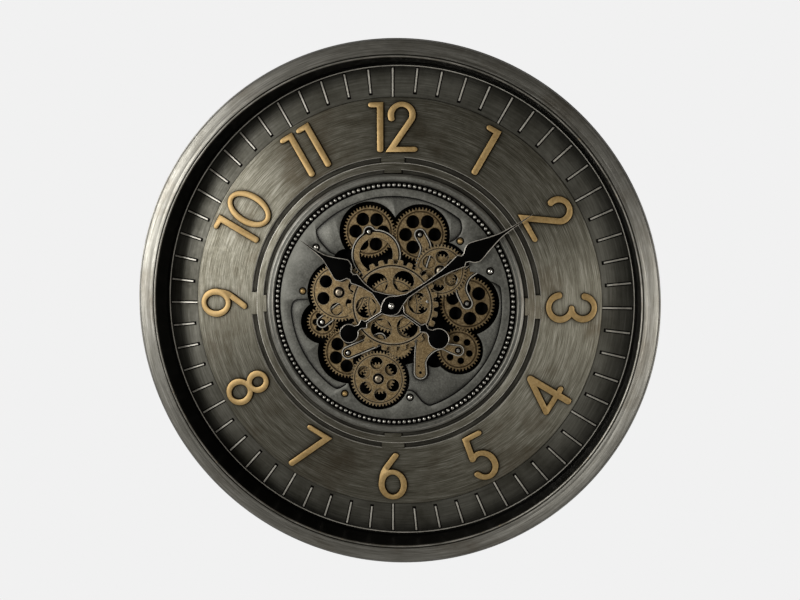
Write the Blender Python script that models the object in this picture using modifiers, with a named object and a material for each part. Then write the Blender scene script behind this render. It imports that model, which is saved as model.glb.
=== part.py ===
"""Gear wall clock: a deep round metal case, a stepped dial with raised numerals, and an open
train of brass wheels that turns under the two hands.

Every piece is modelled lying on its back: X runs right across the dial, Y runs up the dial and
Z is the distance out from the wall. The empty clock_frame then stands the clock up, so that in
the world the wall is the plane y = 0 and the dial looks along -Y. The origin is the middle of
the back, on the axis of the hands.
"""

import math

import bmesh
import bpy
from mathutils import Matrix, Vector

MM = 0.001

# Clearances
FIT = 0.3 * MM
RUNNING = 0.4 * MM

# Case
CASE_RADIUS = 300 * MM
CASE_DEPTH = 78 * MM
BEZEL_FACE = 21 * MM
SHEET = 1.0 * MM
LIP_RETURN = 5.2 * MM
BEZEL_ROUND = 2.5 * MM
BEZEL_GROOVE = 0.9 * MM
BEAD_WIDTH = 4.8 * MM
WELL_WALL = 1.2 * MM
WELL_SETBACK = 0.8 * MM
SKIRT_HEIGHT = 30 * MM
SKIRT_FLANGE = 7 * MM

# Dial, from the outside in
DIAL_FRONT = 40 * MM
DIAL_SHEET = 1.2 * MM
BAND_STEP = 1.2 * MM
TRACK_WIDTH = 38.6 * MM
OUTER_GROOVE = 5.9 * MM
LAND_WIDTH = 8.4 * MM
INNER_GROOVE = 4.7 * MM
GROOVE_DEPTH = 2.2 * MM
OUTER_TAB_LENGTH = 28 * MM
INNER_TAB_LENGTH = 21 * MM
TICK_WIDTH = 1.6 * MM
TICK_HEIGHT = 1.0 * MM
TICK_INSET = 5.6 * MM
SHORT_TICK = 27 * MM

# Numerals
NUMERAL_MARGIN = 5.8 * MM
NUMERAL_HEIGHT = 2.0 * MM

# The digits are drawn at this height and then scaled together to fit the band
DIGIT_HEIGHT = 57 * MM
DIGIT_UPRIGHT = 7.1 * MM
DIGIT_LEVEL = 5.6 * MM
DIGIT_GAP = 5.2 * MM
DIGIT_WIDTHS = {
    "0": 38.0 * MM,
    "1": 17.5 * MM,
    "2": 34.0 * MM,
    "3": 35.0 * MM,
    "4": 38.5 * MM,
    "5": 34.0 * MM,
    "6": 34.3 * MM,
    "7": 32.0 * MM,
    "8": 32.6 * MM,
    "9": 34.3 * MM,
}

# Open module in the middle of the dial
MODULE_RIM_WIDTH = 8.9 * MM
BEAD_CHANNEL = 7.3 * MM
BEAD_RING_WIDTH = 4.2 * MM
MODULE_FLANGE = 6.5 * MM
RIM_RISE = 1.8 * MM
PLATE_THICKNESS = 1.5 * MM
PLATE_LEDGE = 4.9 * MM
PLATE_BAND = 9.1 * MM
CUT_GAP = 3.6 * MM
BACK_PLATE_DEPTH = 24.5 * MM
BACK_PLATE_RIM = 3.0 * MM

# Wheel train
GEAR_MODULE = 1.3 * MM
WHEEL_THICKNESS = 2.0 * MM
ADDENDUM = 0.9
DEDENDUM = 1.2
COARSE_MODULE = 3.65 * MM
COARSE_TEETH = 28
COARSE_OPENING = 13.0 * MM
COARSE_OPENING_REACH = 32.0 * MM
ARBOR_RADIUS = 2.0 * MM
PIVOT_HOLE = 2.6 * MM
STUD_RADIUS = 4.0 * MM
HOLE_COUNT = 6
HOLE_RADIUS = 7.3 * MM
SMALL_HOLE_RADIUS = 4.0 * MM
HOLE_RIM = 4.2 * MM
LAYER_GAP = 0.6 * MM

TEETH = {
    "central": 50,
    "left": 52,
    "idler": 14,
    "drive": 24,
    "bottom": 50,
    "bottom_pinion": 28,
    "lower_left": 46,
    "lower_left_small": 28,
    "upper_right": 46,
    "upper_right_pinion": 28,
    "top_right": 47,
    "top_left": 46,
    "right": 48,
    "lower_right": 38,
}

# Bearing of each wheel from the wheel that it meshes with, in degrees from three o'clock
BEARING = {
    "left": 167.5,
    "idler": 6.5,
    "drive": -81.3,
    "bottom": -120.9,
    "lower_left": 141.0,
    "lower_left_small": 130.9,
    "upper_right": 67.9,
    "top_right": 119.8,
    "top_left": 176.9,
    "right": -50.6,
    "lower_right": -99.9,
}

# Cocks, bridges and pillars
COCK_THICKNESS = 1.2 * MM
COCK_WIDTH = 13.6 * MM
POST_RADIUS = 3.0 * MM
BRIDGE_RADIUS = 29.5 * MM
BRIDGE_BORE = 20.0 * MM
BRIDGE_DROP = 28.3 * MM
BRIDGE_BEARING = -73.0
BRIDGE_MOUTH = 56.0
PILLAR_RADIUS = 4.0 * MM
PILLAR_NECK = 1.7 * MM
PILLAR_HEAD = 3.3 * MM
PILLAR_CENTRES = {
    "upper_left": (-92.2 * MM, 67.7 * MM),
    "left": (-109.1 * MM, 15.4 * MM),
    "lower_left": (-58.5 * MM, -107.9 * MM),
    "bottom": (20.6 * MM, -110.1 * MM),
    "right": (114.0 * MM, 41.0 * MM),
    "upper_right": (79.0 * MM, 75.6 * MM),
}

# Hands
HOUR_HAND_LENGTH = 134 * MM
HOUR_BOSS = 12.8 * MM
HOUR_TAIL = 67 * MM
HOUR_TAIL_DISC = 12.4 * MM
HOUR_LEAF_END = 55 * MM
HOUR_LEAF_WIDTH = 6.8 * MM
HOUR_SPADE_WIDTH = 14.2 * MM
MINUTE_HAND_LENGTH = 197 * MM
MINUTE_BOSS = 11.4 * MM
MINUTE_TAIL = 61 * MM
MINUTE_TAIL_DISC = 11.3 * MM
MINUTE_LEAF_END = 97 * MM
MINUTE_LEAF_WIDTH = 8.0 * MM
MINUTE_SPADE_WIDTH = 12.2 * MM
HAND_ROD = 3.2 * MM
HAND_COLLAR = 12 * MM
HAND_THICKNESS = 1.2 * MM
SHOWN_HOUR = 10
SHOWN_MINUTE = 9.45
MINUTE_SHAFT = 1.7 * MM
HOUR_TUBE = 2.8 * MM
BUSH_RADIUS = 4.0 * MM
TUBE_WALL = 0.7 * MM
BUSH_BORE = 3.2 * MM

# Movement, gear drive and the openings behind them
MOVEMENT_SIDE = 56 * MM
BOX_BACK = 4.6 * MM
CELL_RADIUS = 7.1 * MM
CELL_LENGTH = 50.0 * MM
CELL_CLEARANCE = 0.7 * MM
BAY_WALL = 2.0 * MM
DRIVE_LEFT = -62 * MM
DRIVE_RIGHT = 30 * MM
DRIVE_TOP = -34 * MM
DRIVE_BOTTOM = -94 * MM
KNOB_RADIUS = 6.0 * MM
KNOB_OFFSET = 14.0 * MM
KNOB_HOLE = 7.5 * MM
DOOR_THICKNESS = 1.2 * MM
DOOR_LAP = 2.0 * MM
DOOR_GRIP = 2.0 * MM
GRIP_MARGIN = 1.0 * MM
WINDOW_MARGIN = 3.0 * MM
RAIL_WALL = 1.6 * MM
SWITCH_X = 18 * MM
SWITCH_Y = -76 * MM
SWITCH_TRAVEL = 4 * MM
SWITCH_KNOB = 4 * MM
HANG_INSET = 30 * MM
HANG_SLOT = 20 * MM
POST_COUNT = 6
POST_BEARING = 0.0
DIAL_POST_RADIUS = 5 * MM
DIAL_POST_INSET = 18 * MM

# Facets
CASE_STEPS = 60
DIAL_STEPS = 48
MODULE_STEPS = DIAL_STEPS
LOBE_STEPS = 28
SMALL_STEPS = 8
ROUND_STEPS = 16
RING_STEPS = 14

# Heights above the wall that follow from the sizes above
DIAL_BACK = DIAL_FRONT - DIAL_SHEET
BAND_FRONT = DIAL_FRONT + BAND_STEP
GROOVE_BACK = BAND_FRONT - GROOVE_DEPTH - DIAL_SHEET
PLATE_FRONT = BAND_FRONT - 0.2 * MM
PLATE_BACK = PLATE_FRONT - PLATE_THICKNESS
COCK_FRONT = PLATE_BACK - FIT
COCK_BACK = COCK_FRONT - COCK_THICKNESS
REAR_LAYER = COCK_BACK - LAYER_GAP - WHEEL_THICKNESS
FRONT_LAYER = COCK_FRONT + 0.5 * MM
BRACKET_BACK = PLATE_FRONT + FIT
BRACKET_FRONT = BRACKET_BACK + PLATE_THICKNESS
COARSE_LAYER = BRACKET_FRONT + 0.8 * MM
COARSE_FRONT = COARSE_LAYER + WHEEL_THICKNESS
BUSH_FRONT = COARSE_FRONT + 1.4 * MM
HOUR_HAND_BACK = BUSH_FRONT + 0.7 * MM
MINUTE_HAND_BACK = HOUR_HAND_BACK + HAND_THICKNESS + 1.3 * MM
MINUTE_HAND_FRONT = MINUTE_HAND_BACK + HAND_THICKNESS
BACK_PLATE_FRONT = BACK_PLATE_DEPTH + PLATE_THICKNESS
BOX_FRONT = BACK_PLATE_DEPTH - FIT

LIP_RADIUS = CASE_RADIUS - BEZEL_FACE
WELL_RADIUS = LIP_RADIUS + WELL_SETBACK
DIAL_RADIUS = WELL_RADIUS + WELL_WALL - FIT
BAND_RADIUS = WELL_RADIUS - TRACK_WIDTH
PAN_RADIUS = CASE_RADIUS - SHEET - FIT
HANG_HEIGHT = CASE_RADIUS - HANG_INSET


def clear_scene():
    for item in list(bpy.data.objects):
        bpy.data.objects.remove(item, do_unlink=True)


def make_collection(name):
    collection = bpy.data.collections.new(name)
    bpy.context.scene.collection.children.link(collection)
    return collection


clear_scene()
PARTS = make_collection("gear_wall_clock")
CUTTERS = make_collection("cutters")
FRAME = bpy.data.objects.new("clock_frame", None)
FRAME.rotation_euler = (math.pi / 2, 0, 0)
PARTS.objects.link(FRAME)


def metal(name, color, roughness, metallic=1.0):
    material = bpy.data.materials.new(name)
    material.use_nodes = True
    shader = material.node_tree.nodes["Principled BSDF"]
    shader.inputs["Base Color"].default_value = (*color, 1.0)
    shader.inputs["Metallic"].default_value = metallic
    shader.inputs["Roughness"].default_value = roughness
    material.diffuse_color = (*color, 1.0)
    return material


PEWTER = metal("antique_pewter", (0.19, 0.185, 0.16), 0.42)
PLATE_GREY = metal("plate_grey", (0.22, 0.22, 0.20), 0.5)
WELL_BLACK = metal("well_black", (0.008, 0.008, 0.008), 0.25, 0.0)
BRASS = metal("aged_brass", (0.42, 0.30, 0.15), 0.45)
NUMERAL_BRASS = metal("numeral_brass", (0.62, 0.43, 0.19), 0.5)
HAND_BLACK = metal("hand_black", (0.01, 0.01, 0.01), 0.4, 0.3)
BRIGHT_STEEL = metal("bright_steel", (0.6, 0.58, 0.52), 0.25)
DARK_STEEL = metal("dark_steel", (0.03, 0.03, 0.03), 0.5)
BLACK_PLASTIC = metal("black_plastic", (0.02, 0.02, 0.02), 0.5, 0.0)
CELL_SHELL = metal("cell_shell", (0.25, 0.27, 0.3), 0.35)


def polar(radius, degrees):
    angle = math.radians(degrees)
    return Vector((radius * math.cos(angle), radius * math.sin(angle)))


def circle(center, radius, steps, turn=0.0):
    return [Vector(center) + polar(radius, turn + 360 * i / steps) for i in range(steps)]


def rectangle(left, bottom, right, top):
    return [Vector((left, bottom)), Vector((right, bottom)), Vector((right, top)), Vector((left, top))]


def arc(center, reach, start, end, steps):
    """Points on an ellipse; reach is a radius or a pair of half widths."""
    wide, tall = reach if isinstance(reach, tuple) else (reach, reach)
    points = []
    for i in range(steps + 1):
        angle = math.radians(start + (end - start) * i / steps)
        points.append(Vector((center[0] + wide * math.cos(angle), center[1] + tall * math.sin(angle))))
    return points


def stroke(path, width, cap_steps=4):
    """Outline of a line of one width with round ends, run along an open path."""
    path = [Vector(point) for point in path]
    half = width / 2
    left = []
    right = []
    for i, point in enumerate(path):
        before = (point - path[i - 1]).normalized() if i else None
        after = (path[i + 1] - point).normalized() if i + 1 < len(path) else None
        along = ((before or after) + (after or before)).normalized()
        normal = Vector((-along.y, along.x))
        stretch = 1.0
        if before is not None and after is not None:
            stretch = 1.0 / max(0.5, normal.dot(Vector((-before.y, before.x))))
        left.append(point + normal * half * stretch)
        right.append(point - normal * half * stretch)

    def cap(center, start_normal):
        turn = math.degrees(math.atan2(start_normal.y, start_normal.x))
        return [center + polar(half, turn - 180 * k / cap_steps) for k in range(1, cap_steps)]

    head = path[-1] - path[-2]
    tail = path[0] - path[1]
    end_cap = cap(path[-1], Vector((-head.y, head.x)))
    start_cap = cap(path[0], Vector((-tail.y, tail.x)))
    return left + end_cap + right[::-1] + start_cap


def gear_outline(teeth, module, phase=0.0, tip=0.0, root=0.0):
    """Tooth outline about the origin. phase is the bearing of one tooth; tip and root are the
    shares of the pitch that lie flat at the top and at the foot of a tooth."""
    pitch = 360 / teeth
    outer = module * (teeth / 2 + ADDENDUM)
    inner = module * (teeth / 2 - DEDENDUM)
    points = []
    for k in range(teeth):
        middle = phase + k * pitch
        foot = (1 - root) * pitch / 2
        points.append(polar(inner, middle - foot))
        if tip:
            points.append(polar(outer, middle - tip * pitch / 2))
            points.append(polar(outer, middle + tip * pitch / 2))
        else:
            points.append(polar(outer, middle))
        if root:
            points.append(polar(inner, middle + foot))
    return points


def flat_mesh(name, loops, back, thickness):
    """A closed flat piece: the first loop is its edge and the others are holes in it."""
    curve = bpy.data.curves.new(name, "CURVE")
    curve.dimensions = "2D"
    curve.fill_mode = "BOTH"
    curve.extrude = thickness / 2
    for loop in loops:
        spline = curve.splines.new("POLY")
        spline.points.add(len(loop) - 1)
        for point, place in zip(spline.points, loop):
            point.co = (place[0], place[1], 0, 1)
        spline.use_cyclic_u = True
    holder = bpy.data.objects.new(name + "_curve", curve)
    CUTTERS.objects.link(holder)
    bpy.context.view_layer.update()
    evaluated = holder.evaluated_get(bpy.context.evaluated_depsgraph_get())
    mesh = bpy.data.meshes.new_from_object(evaluated)
    bpy.data.objects.remove(holder, do_unlink=True)
    bpy.data.curves.remove(curve)
    shape = bmesh.new()
    shape.from_mesh(mesh)
    bmesh.ops.remove_doubles(shape, verts=shape.verts, dist=1e-6)
    bmesh.ops.translate(shape, verts=shape.verts, vec=(0, 0, back + thickness / 2))
    bmesh.ops.recalc_face_normals(shape, faces=shape.faces)
    shape.to_mesh(mesh)
    shape.free()
    mesh.name = name
    return mesh


def turned_mesh(name, profile, steps, center=(0, 0)):
    """A closed turned piece. profile is a closed loop of (radius, height) points, or a chain
    that starts and ends on the axis."""
    mesh = bpy.data.meshes.new(name + "_profile")
    closed = profile[0][0] > 0 or profile[-1][0] > 0
    edges = [(i, i + 1) for i in range(len(profile) - 1)]
    if closed:
        edges.append((len(profile) - 1, 0))
    mesh.from_pydata([(radius, 0, height) for radius, height in profile], edges, [])
    holder = bpy.data.objects.new(name + "_turning", mesh)
    CUTTERS.objects.link(holder)
    screw = holder.modifiers.new("turn", "SCREW")
    screw.axis = "Z"
    screw.steps = steps
    screw.render_steps = steps
    screw.use_merge_vertices = True
    screw.merge_threshold = 0.00001
    screw.use_normal_calculate = True
    bpy.context.view_layer.update()
    evaluated = holder.evaluated_get(bpy.context.evaluated_depsgraph_get())
    result = bpy.data.meshes.new_from_object(evaluated)
    bpy.data.objects.remove(holder, do_unlink=True)
    bpy.data.meshes.remove(mesh)
    shape = bmesh.new()
    shape.from_mesh(result)
    bmesh.ops.remove_doubles(shape, verts=shape.verts, dist=1e-6)
    bmesh.ops.translate(shape, verts=shape.verts, vec=(center[0], center[1], 0))
    bmesh.ops.recalc_face_normals(shape, faces=shape.faces)
    shape.to_mesh(result)
    shape.free()
    result.name = name
    return result


def rod_mesh(name, radius, back, front, steps, center=(0, 0)):
    shape = bmesh.new()
    middle = Matrix.Translation((center[0], center[1], (back + front) / 2))
    bmesh.ops.create_cone(shape, cap_ends=True, segments=steps, radius1=radius, radius2=radius,
                          depth=front - back, matrix=middle)
    mesh = bpy.data.meshes.new(name)
    shape.to_mesh(mesh)
    shape.free()
    return mesh


def box_mesh(name, low, high, turn=0.0):
    """A box between two corners, turned about the axis of the clock."""
    size = Vector(high) - Vector(low)
    middle = (Vector(high) + Vector(low)) / 2
    place = Matrix.Rotation(turn, 4, "Z") @ Matrix.Translation(middle) @ Matrix.Diagonal((*size, 1))
    shape = bmesh.new()
    bmesh.ops.create_cube(shape, size=1, matrix=place)
    mesh = bpy.data.meshes.new(name)
    shape.to_mesh(mesh)
    shape.free()
    return mesh


def gather(name, meshes):
    """One mesh that holds several separate shells."""
    shape = bmesh.new()
    for mesh in meshes:
        shape.from_mesh(mesh)
    result = bpy.data.meshes.new(name)
    shape.to_mesh(result)
    shape.free()
    for mesh in meshes:
        bpy.data.meshes.remove(mesh)
    return result


def place_piece(name, mesh, material, at=(0, 0), smooth=30):
    piece = bpy.data.objects.new(name, mesh)
    mesh.materials.clear()
    mesh.materials.append(material)
    mesh.shade_smooth()
    mesh.set_sharp_from_angle(angle=math.radians(smooth))
    PARTS.objects.link(piece)
    piece.parent = FRAME
    piece.location = (at[0], at[1], 0)
    return piece


def combine(piece, mesh, operation):
    """Adds mesh to a piece, or cuts it away. The mesh is in the piece's own space."""
    tool = bpy.data.objects.new(piece.name + "_" + operation.lower(), mesh)
    CUTTERS.objects.link(tool)
    tool.parent = piece
    tool.hide_render = True
    tool.display_type = "WIRE"
    modifier = piece.modifiers.new(operation.lower(), "BOOLEAN")
    modifier.operation = operation
    modifier.solver = "EXACT"
    modifier.object = tool


def add(piece, mesh):
    combine(piece, mesh, "UNION")


def cut(piece, mesh):
    combine(piece, mesh, "DIFFERENCE")


def pitch_radius(wheel):
    return TEETH[wheel] * GEAR_MODULE / 2


def outer_radius(wheel):
    return GEAR_MODULE * (TEETH[wheel] / 2 + ADDENDUM)


def beside(origin, own, other, bearing):
    """Centre of a wheel that meshes with the wheel or pinion named own, centred at origin."""
    return origin + polar(pitch_radius(own) + pitch_radius(other), BEARING[bearing])


def meshed_phase(origin, phase, own, center, other):
    """Bearing of a tooth of the second wheel, with a gap where the first wheel has a tooth."""
    line = math.degrees(math.atan2(center.y - origin.y, center.x - origin.x))
    own_pitch = 360 / TEETH[own]
    other_pitch = 360 / TEETH[other]
    return line + 180 - other_pitch * (0.5 - (line - phase) / own_pitch)


def lay_out_train():
    """Centres and tooth phases of every wheel, following the train from the central wheel."""
    center = {"central": Vector((0, 0))}
    phase = {"central": 0.0, "bottom_pinion": 0.0, "upper_right_pinion": 0.0}
    steps = (
        ("central", "left"),
        ("central", "idler"),
        ("central", "drive"),
        ("drive", "bottom"),
        ("bottom_pinion", "lower_left"),
        ("lower_left", "lower_left_small"),
        ("idler", "upper_right"),
        ("upper_right_pinion", "top_right"),
        ("upper_right_pinion", "right"),
        ("top_right", "top_left"),
        ("right", "lower_right"),
    )
    for driver, wheel in steps:
        origin = center[driver]
        center[wheel] = beside(origin, driver, wheel, wheel)
        phase[wheel] = meshed_phase(origin, phase[driver], driver, center[wheel], wheel)
        pinion = wheel + "_pinion"
        if pinion in TEETH:
            center[pinion] = center[wheel]
    return center, phase


CENTER, PHASE = lay_out_train()
LOBES = ("top_left", "top_right", "upper_right", "right", "lower_right", "bottom", "lower_left",
         "lower_left_small", "left")
TRAIN_REACH = max(CENTER[wheel].length + outer_radius(wheel) for wheel in LOBES)
PLATE_RADIUS = TRAIN_REACH + CUT_GAP + PLATE_BAND
MODULE_RADIUS = PLATE_RADIUS + FIT + BEAD_CHANNEL + MODULE_RIM_WIDTH
BAND_INNER = MODULE_RADIUS + FIT + INNER_GROOVE + LAND_WIDTH + OUTER_GROOVE


def make_bezel():
    """Spun ring that shows as the rim: skirt, flat face, groove, bead and a short inner lip."""
    bead = LIP_RADIUS + BEAD_WIDTH
    under_face = CASE_DEPTH - SHEET - 0.2 * MM
    lip_back = CASE_DEPTH - LIP_RETURN
    profile = [
        (CASE_RADIUS, 0),
        (CASE_RADIUS, CASE_DEPTH - BEZEL_ROUND),
        (CASE_RADIUS - BEZEL_ROUND, CASE_DEPTH),
        (bead + BEZEL_GROOVE, CASE_DEPTH),
        (bead, CASE_DEPTH - BEZEL_GROOVE),
        (bead - BEZEL_GROOVE, CASE_DEPTH),
        (LIP_RADIUS + 1.2 * MM, CASE_DEPTH),
        (LIP_RADIUS, CASE_DEPTH - 1.4 * MM),
        (LIP_RADIUS, lip_back),
        (LIP_RADIUS + SHEET, lip_back),
        (LIP_RADIUS + SHEET, under_face),
        (CASE_RADIUS - SHEET, under_face),
        (CASE_RADIUS - SHEET, 0),
    ]
    place_piece("bezel", turned_mesh("bezel", profile, CASE_STEPS), PEWTER)


def make_well_ring():
    """Black wall between the bezel's lip and the edge of the dial."""
    back = DIAL_FRONT + FIT
    front = CASE_DEPTH - LIP_RETURN - FIT
    outer = WELL_RADIUS + WELL_WALL
    profile = [(outer, back), (outer, front), (WELL_RADIUS, front), (WELL_RADIUS, back)]
    place_piece("well_ring", turned_mesh("well_ring", profile, CASE_STEPS), WELL_BLACK)


def tick_meshes():
    """Sixty raised marks; the hour marks run in to the step of the numeral band."""
    outer = WELL_RADIUS - TICK_INSET
    front = DIAL_FRONT + TICK_HEIGHT
    meshes = []
    for i in range(60):
        inner = BAND_RADIUS - 0.5 * MM if i % 5 == 0 else outer - SHORT_TICK
        low = (inner, -TICK_WIDTH / 2, DIAL_FRONT - 0.4 * MM)
        high = (outer, TICK_WIDTH / 2, front)
        meshes.append(box_mesh("tick", low, high, math.radians(6 * i)))
    return meshes


def tab_meshes():
    """Bridges over the two grooves at twelve, three, six and nine o'clock."""
    land_outer = BAND_INNER - OUTER_GROOVE
    land_inner = land_outer - LAND_WIDTH
    floor = BAND_FRONT - GROOVE_DEPTH
    front = BAND_FRONT - 0.1 * MM
    meshes = []
    for i in range(4):
        turn = math.radians(90 * i)
        half = OUTER_TAB_LENGTH / 2
        low = (land_outer - 0.8 * MM, -half, floor - 0.4 * MM)
        meshes.append(box_mesh("tab", low, (BAND_INNER + DIAL_SHEET / 2, half, front), turn))
        half = INNER_TAB_LENGTH / 2
        low = (land_inner - INNER_GROOVE + 0.6 * MM, -half, floor - 0.4 * MM)
        meshes.append(box_mesh("tab", low, (land_inner + 1.0 * MM, half, front), turn))
    return meshes


def make_dial():
    land_outer = BAND_INNER - OUTER_GROOVE
    land_inner = land_outer - LAND_WIDTH
    inner = land_inner - INNER_GROOVE
    floor = BAND_FRONT - GROOVE_DEPTH
    profile = [
        (DIAL_RADIUS, DIAL_BACK),
        (DIAL_RADIUS, DIAL_FRONT),
        (BAND_RADIUS, DIAL_FRONT),
        (BAND_RADIUS, BAND_FRONT),
        (BAND_INNER, BAND_FRONT),
        (BAND_INNER, floor),
        (land_outer, floor),
        (land_outer, BAND_FRONT),
        (land_inner, BAND_FRONT),
        (land_inner, floor),
        (inner, floor),
        (inner, GROOVE_BACK),
        (BAND_INNER + DIAL_SHEET, GROOVE_BACK),
        (BAND_INNER + DIAL_SHEET, BAND_FRONT - DIAL_SHEET),
        (BAND_RADIUS - DIAL_SHEET, BAND_FRONT - DIAL_SHEET),
        (BAND_RADIUS - DIAL_SHEET, DIAL_BACK),
    ]
    dial = place_piece("dial_plate", turned_mesh("dial_plate", profile, DIAL_STEPS), PEWTER)
    add(dial, gather("dial_relief", tick_meshes() + tab_meshes()))


def digit_strokes(digit):
    """Centre lines and rings of a digit in a box one unit tall and one unit wide."""
    stem = [(0.13, 0.5), (-0.1, 0.335), (-0.354, 0.14), (-0.44, 0.02), (-0.475, -0.09)]
    lines = {
        "1": ([(-0.5, 0.5), (0.5, 0.5), (0.5, -0.5)],),
        "2": (arc((-0.02, 0.266), (0.47, 0.234), 200, -25, 8) + [(-0.5, -0.5), (0.53, -0.5)],),
        "3": (arc((0, 0.25), (0.47, 0.25), 175, -85, 8), arc((0, -0.245), (0.5, 0.255), 85, -175, 8)),
        "4": ([(0.27, 0.5), (0.27, -0.5)], [(0.25, 0.49), (-0.5, -0.207)], [(-0.49, -0.21), (0.5, -0.21)]),
        "5": ([(0.5, 0.5), (-0.15, 0.5), (-0.3, 0.064)] + arc((0, -0.21), (0.5, 0.29), 125, -155, 10),),
        "6": (stem,),
        "7": ([(-0.5, 0.5), (0.5, 0.5), (-0.42, -0.5)],),
        "9": ([(-x, -y) for x, y in stem],),
    }
    rings = {
        "6": (((0, -0.2), (0.5, 0.3)),),
        "9": (((0, 0.2), (0.5, 0.3)),),
        "8": (((0, 0.289), (0.393, 0.211)), ((0, -0.232), (0.5, 0.268))),
        "0": (((0, 0), (0.5, 0.5)),),
    }
    return lines.get(digit, ()), rings.get(digit, ())


def digit_meshes(name, digit):
    """A digit standing on the plane z = 0, centred on the origin with its top along +Y. It is
    drawn narrow with one line width and then widened, which leaves upright strokes thicker."""
    lines, rings = digit_strokes(digit)
    widen = DIGIT_UPRIGHT / DIGIT_LEVEL
    box = Vector(((DIGIT_WIDTHS[digit] - DIGIT_UPRIGHT) / widen, DIGIT_HEIGHT - DIGIT_LEVEL))
    half = DIGIT_LEVEL / 2
    turn = 360 / RING_STEPS
    outlines = []
    for (x, y), (reach_x, reach_y) in rings:
        center = (x * box.x, y * box.y)
        edges = [(reach_x * box.x + side * half, reach_y * box.y + side * half) for side in (1, -1)]
        outlines.append([arc(center, edge, 0, 360 - turn, RING_STEPS - 1) for edge in edges])
    for line in lines:
        outlines.append([stroke([(x * box.x, y * box.y) for x, y in line], DIGIT_LEVEL)])
    meshes = []
    for k, loops in enumerate(outlines):
        lift = 0.04 * MM * k
        loops = [[(x * widen, y) for x, y in loop] for loop in loops]
        meshes.append(flat_mesh(name, loops, lift, NUMERAL_HEIGHT - 2 * lift))
    return meshes


def make_numerals():
    """Twelve raised numerals, one solid to a digit. Those at the bottom read upright."""
    fit = (BAND_RADIUS - BAND_INNER - 2 * NUMERAL_MARGIN) / DIGIT_HEIGHT
    middle = (BAND_RADIUS + BAND_INNER) / 2
    for hour in range(1, 13):
        inward = 4 <= hour <= 8
        bearing = 90 - 30 * hour
        turn = math.radians(bearing - 90 + (180 if inward else 0))
        center = polar(middle, bearing)
        place = Matrix.Translation((center.x, center.y, BAND_FRONT + FIT))
        place = place @ Matrix.Rotation(turn, 4, "Z") @ Matrix.Diagonal((fit, fit, 1, 1))
        digits = str(hour)
        left = -(sum(DIGIT_WIDTHS[digit] for digit in digits) + DIGIT_GAP * (len(digits) - 1)) / 2
        for k, digit in enumerate(digits):
            name = "numeral_{:02d}_{}".format(hour, "ab"[k])
            meshes = digit_meshes(name, digit)
            for mesh in meshes:
                mesh.transform(place @ Matrix.Translation((left + DIGIT_WIDTHS[digit] / 2, 0, 0)))
            left += DIGIT_WIDTHS[digit] + DIGIT_GAP
            numeral = place_piece(name, meshes[0], NUMERAL_BRASS)
            for mesh in meshes[1:]:
                add(numeral, mesh)


def make_module_ring():
    """Raised rim round the open module, with the channel for the beads and a seat for the plate."""
    outer = MODULE_RADIUS
    flange = outer + MODULE_FLANGE
    flange_front = GROOVE_BACK - FIT
    flange_back = flange_front - SHEET
    channel = PLATE_RADIUS + FIT + BEAD_CHANNEL
    seat = PLATE_BACK - FIT
    rim = BAND_FRONT + RIM_RISE
    profile = [
        (flange, flange_back),
        (flange, flange_front),
        (outer, flange_front),
        (outer, BAND_FRONT + 0.6 * MM),
        (outer - 2.0 * MM, rim),
        (outer - 6.9 * MM, rim),
        (channel, BAND_FRONT),
        (channel, seat),
        (PLATE_RADIUS - PLATE_LEDGE, seat),
        (PLATE_RADIUS - PLATE_LEDGE, flange_back),
    ]
    place_piece("module_ring", turned_mesh("module_ring", profile, MODULE_STEPS), PEWTER)


def make_bead_ring():
    middle = PLATE_RADIUS + FIT + BEAD_CHANNEL / 2
    half = BEAD_RING_WIDTH / 2
    back = PLATE_BACK
    front = back + 3.2 * MM
    profile = [
        (middle + half, back),
        (middle + half, front - 1.4 * MM),
        (middle + half - 1.3 * MM, front),
        (middle - half + 1.3 * MM, front),
        (middle - half, front - 1.4 * MM),
        (middle - half, back),
    ]
    place_piece("bead_ring", turned_mesh("bead_ring", profile, MODULE_STEPS), BRIGHT_STEEL)


def make_cover_plate():
    """Plate with the cloud-shaped window: one round lobe over each outer wheel."""
    loops = [circle((0, 0), PLATE_RADIUS, DIAL_STEPS)]
    for center in PILLAR_CENTRES.values():
        loops.append(circle(center, PILLAR_NECK + RUNNING, SMALL_STEPS))
    plate = place_piece("cover_plate", flat_mesh("cover_plate", loops, PLATE_BACK, PLATE_THICKNESS), PLATE_GREY)
    back = PLATE_BACK - 2 * MM
    front = PLATE_FRONT + 2 * MM
    for wheel in LOBES:
        radius = outer_radius(wheel) + CUT_GAP
        cut(plate, rod_mesh("lobe_" + wheel, radius, back, front, LOBE_STEPS, CENTER[wheel]))
    middle = CENTER["upper_right"].length + CUT_GAP
    cut(plate, rod_mesh("lobe_middle", middle, back, front, LOBE_STEPS))


def make_back_plate():
    """Dark plate that carries every arbor."""
    radius = PLATE_RADIUS - PLATE_LEDGE - BACK_PLATE_RIM
    loops = [circle((0, 0), radius, MODULE_STEPS)]
    loops.append(circle((0, 0), BUSH_RADIUS + RUNNING, ROUND_STEPS))
    for wheel in LOBES + ("idler", "drive"):
        loops.append(circle(CENTER[wheel], PIVOT_HOLE, SMALL_STEPS))
    mesh = flat_mesh("back_plate", loops, BACK_PLATE_DEPTH, PLATE_THICKNESS)
    place_piece("back_plate", mesh, DARK_STEEL)


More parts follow.
